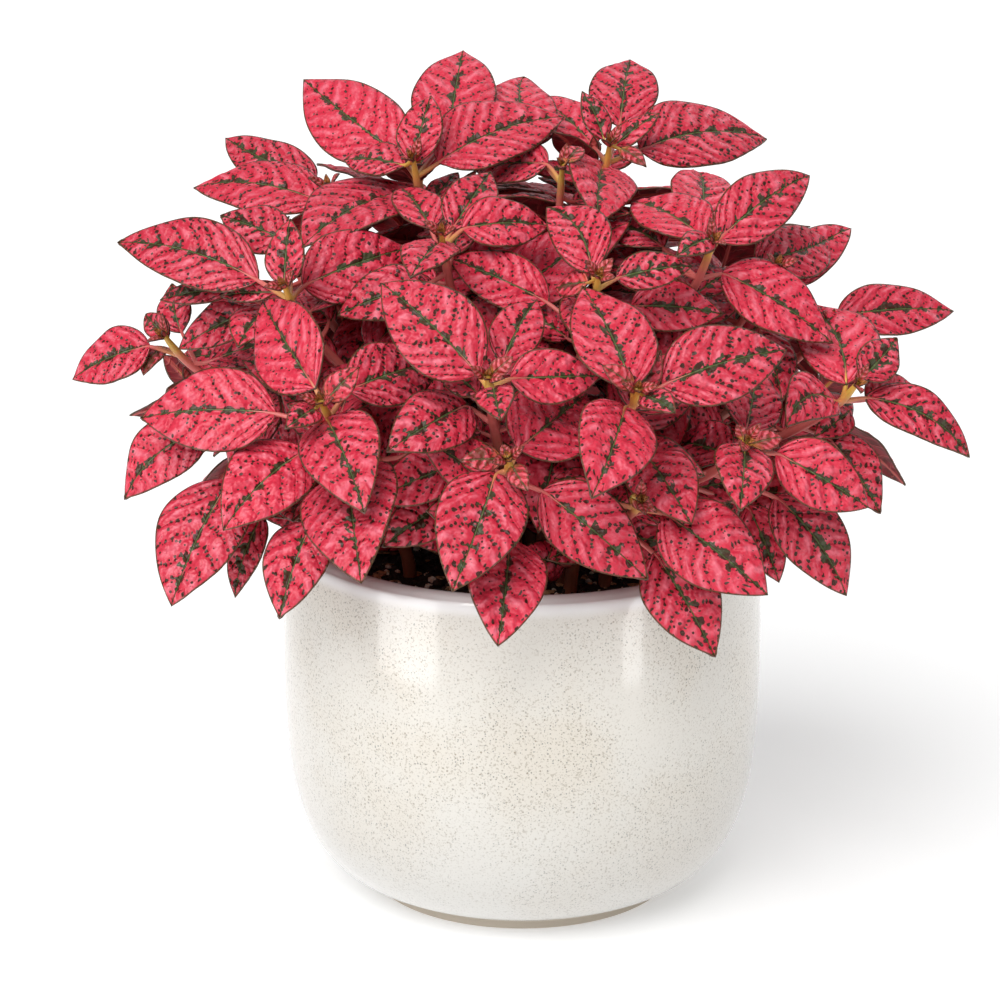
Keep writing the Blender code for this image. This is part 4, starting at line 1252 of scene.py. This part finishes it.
class PolkaSoilOperator(bpy.types.Operator):
    """Build the soil in place of its solid, with its crumbs, bark chips and light bits"""

    bl_idname = "polka.soil"
    bl_label = "Soil"

    def execute(self, context):
        look = context.scene.polka_soil
        work = bmesh.new()
        rings = [(SOIL_RADIUS / MM * k / SOIL_RINGS, SOIL_TOP / MM) for k in range(SOIL_RINGS + 1)]
        spun(work, rings + [(66.4, 101.5), (66.9, 98.3), (68.1, 74.0), (67.1, 44.2), (60.8, 22.3), (47.8, 11.0),
                            (0, 8.4)], 110)
        for vertex in work.verts:
            if vertex.co.z > 104.9 * MM:
                vertex.co.z = soil_height(vertex.co.x, vertex.co.y)
        rng = random.Random(SEED + 2)
        scatter(work, look.crumbs, rng, 0.6 * MM, 1.9 * MM, 0.7, 1)
        scatter(work, look.chips, rng, 1.2 * MM, 3.2 * MM, 0.28, 2)
        scatter(work, look.beads, rng, 0.5 * MM, 1.5 * MM, 0.8, 3)
        mesh = bpy.data.meshes.new("potting_soil")
        work.to_mesh(mesh)
        work.free()
        for paint in (soil_material(look), bit_material("polka crumbs", look.damp, look.peat, 0.8),
                      bit_material("polka bark chips", look.bark, look.damp, 0.6),
                      bit_material("polka light bits", look.bead, look.bark, 0.5)):
            mesh.materials.append(paint)
        finish_piece("potting_soil", mesh, "soil")
        return {"FINISHED"}


SOIL_RINGS = 60


# The cards that show in the glaze: angle round from the front to the right in degrees, and width in metres.
CARDS = ((-48, 0.12), (45, 0.04))
CARD_AWAY, CARD_HEIGHT, CARD_LOW = 0.25, 0.33, 0.028


def add_light(kind, name, place, aim, energy, context):
    light = bpy.data.lights.new(name, kind)
    light.energy = energy
    thing = bpy.data.objects.new(name, light)
    context.scene.collection.objects.link(thing)
    thing.location = place
    thing.rotation_euler = (Vector(aim) - Vector(place)).to_track_quat("-Z", "Y").to_euler()
    return thing


class PolkaStageOperator(bpy.types.Operator):
    """Set the floor, the lights and the camera"""

    bl_idname = "polka.stage"
    bl_label = "Stage"

    def execute(self, context):
        look = context.scene.polka_stage
        scene = context.scene
        scene.view_settings.view_transform = "Standard"
        world = bpy.data.worlds.new("white surround")
        world.use_nodes = True
        surround = world.node_tree.nodes["Background"].inputs
        surround["Color"].default_value, surround["Strength"].default_value = (1, 1, 1, 1), look.sky
        scene.world = world
        work = bmesh.new()
        bmesh.ops.create_grid(work, x_segments=1, y_segments=1, size=6)
        mesh = bpy.data.meshes.new("floor")
        work.to_mesh(mesh)
        work.free()
        paint, _, shader = new_material("pale floor")
        shader["Base Color"].default_value = (*look.floor, 1)
        shader["Emission Color"].default_value = (1, 1, 1, 1)
        shader["Emission Strength"].default_value = look.glow
        shader["Roughness"].default_value = 1.0
        shader["Specular IOR Level"].default_value = 0.0
        mesh.materials.append(paint)
        floor = bpy.data.objects.new("floor", mesh)
        scene.collection.objects.link(floor)
        key = add_light("SUN", "key", (-0.55, -1.0, 1.5), (0, 0, 0.14), look.key, context)
        key.data.angle = math.radians(50)
        fill = add_light("SUN", "fill", (0.5, 1.2, 1.4), (0, 0, 0.14), look.fill, context)
        fill.data.angle = math.radians(60)
        for around, width in CARDS:
            a = math.radians(around)
            place = (CARD_AWAY * math.sin(a), -CARD_AWAY * math.cos(a), CARD_LOW + CARD_HEIGHT / 2)
            card = add_light("AREA", f"card {around}", place, (0, 0, place[2]), look.strips * width, context)
            card.data.shape, card.data.size, card.data.size_y = "RECTANGLE", width, CARD_HEIGHT
            card.visible_diffuse = card.visible_camera = False
        camera = bpy.data.cameras.new("camera")
        camera.sensor_width, camera.lens = 36, SHEET_AWAY / (2 * SHEET_MIDDLE) * 36
        camera.clip_start, camera.clip_end = 0.01, 20
        thing = bpy.data.objects.new("camera", camera)
        thing.location, thing.rotation_euler = EYE, (math.pi / 2 - EYE_DOWN, 0, 0)
        scene.collection.objects.link(thing)
        scene.camera = thing
        return {"FINISHED"}


class PolkaPanel(bpy.types.Panel):
    """The pieces and their settings"""

    bl_idname = "VIEW3D_PT_polka"
    bl_label = "Polka dot plant"
    bl_space_type = "VIEW_3D"
    bl_region_type = "UI"
    bl_category = "Polka dot plant"

    def draw(self, context):
        for label, operator, group in PARTS:
            box = self.layout.box()
            box.operator(operator, text=label)
            settings = getattr(context.scene, group)
            for name in settings.bl_rna.properties.keys():
                if name not in ("rna_type", "name"):
                    box.prop(settings, name)


PARTS = (
    ("Stage", "polka.stage", "polka_stage"),
    ("Pot", "polka.pot", "polka_pot"),
    ("Soil", "polka.soil", "polka_soil"),
    ("Leafy stems", "polka.leafy_stems", "polka_leaf"),
)
SETTINGS = {
    "polka_leaf": PolkaLeafSettings,
    "polka_pot": PolkaPotSettings,
    "polka_soil": PolkaSoilSettings,
    "polka_stage": PolkaStageSettings,
}
CLASSES = (*SETTINGS.values(), PolkaStemsOperator, PolkaPotOperator, PolkaSoilOperator, PolkaStageOperator,
           PolkaPanel)


def register():
    for kind in CLASSES:
        bpy.utils.register_class(kind)
    for name, kind in SETTINGS.items():
        setattr(bpy.types.Scene, name, PointerProperty(type=kind))


def unregister():
    for name in SETTINGS:
        delattr(bpy.types.Scene, name)
    for kind in reversed(CLASSES):
        bpy.utils.unregister_class(kind)


def main():
    register()
    for _, operator, _ in PARTS:
        family, name = operator.split(".")
        getattr(getattr(bpy.ops, family), name)()


if __name__ == "__main__":
    main()
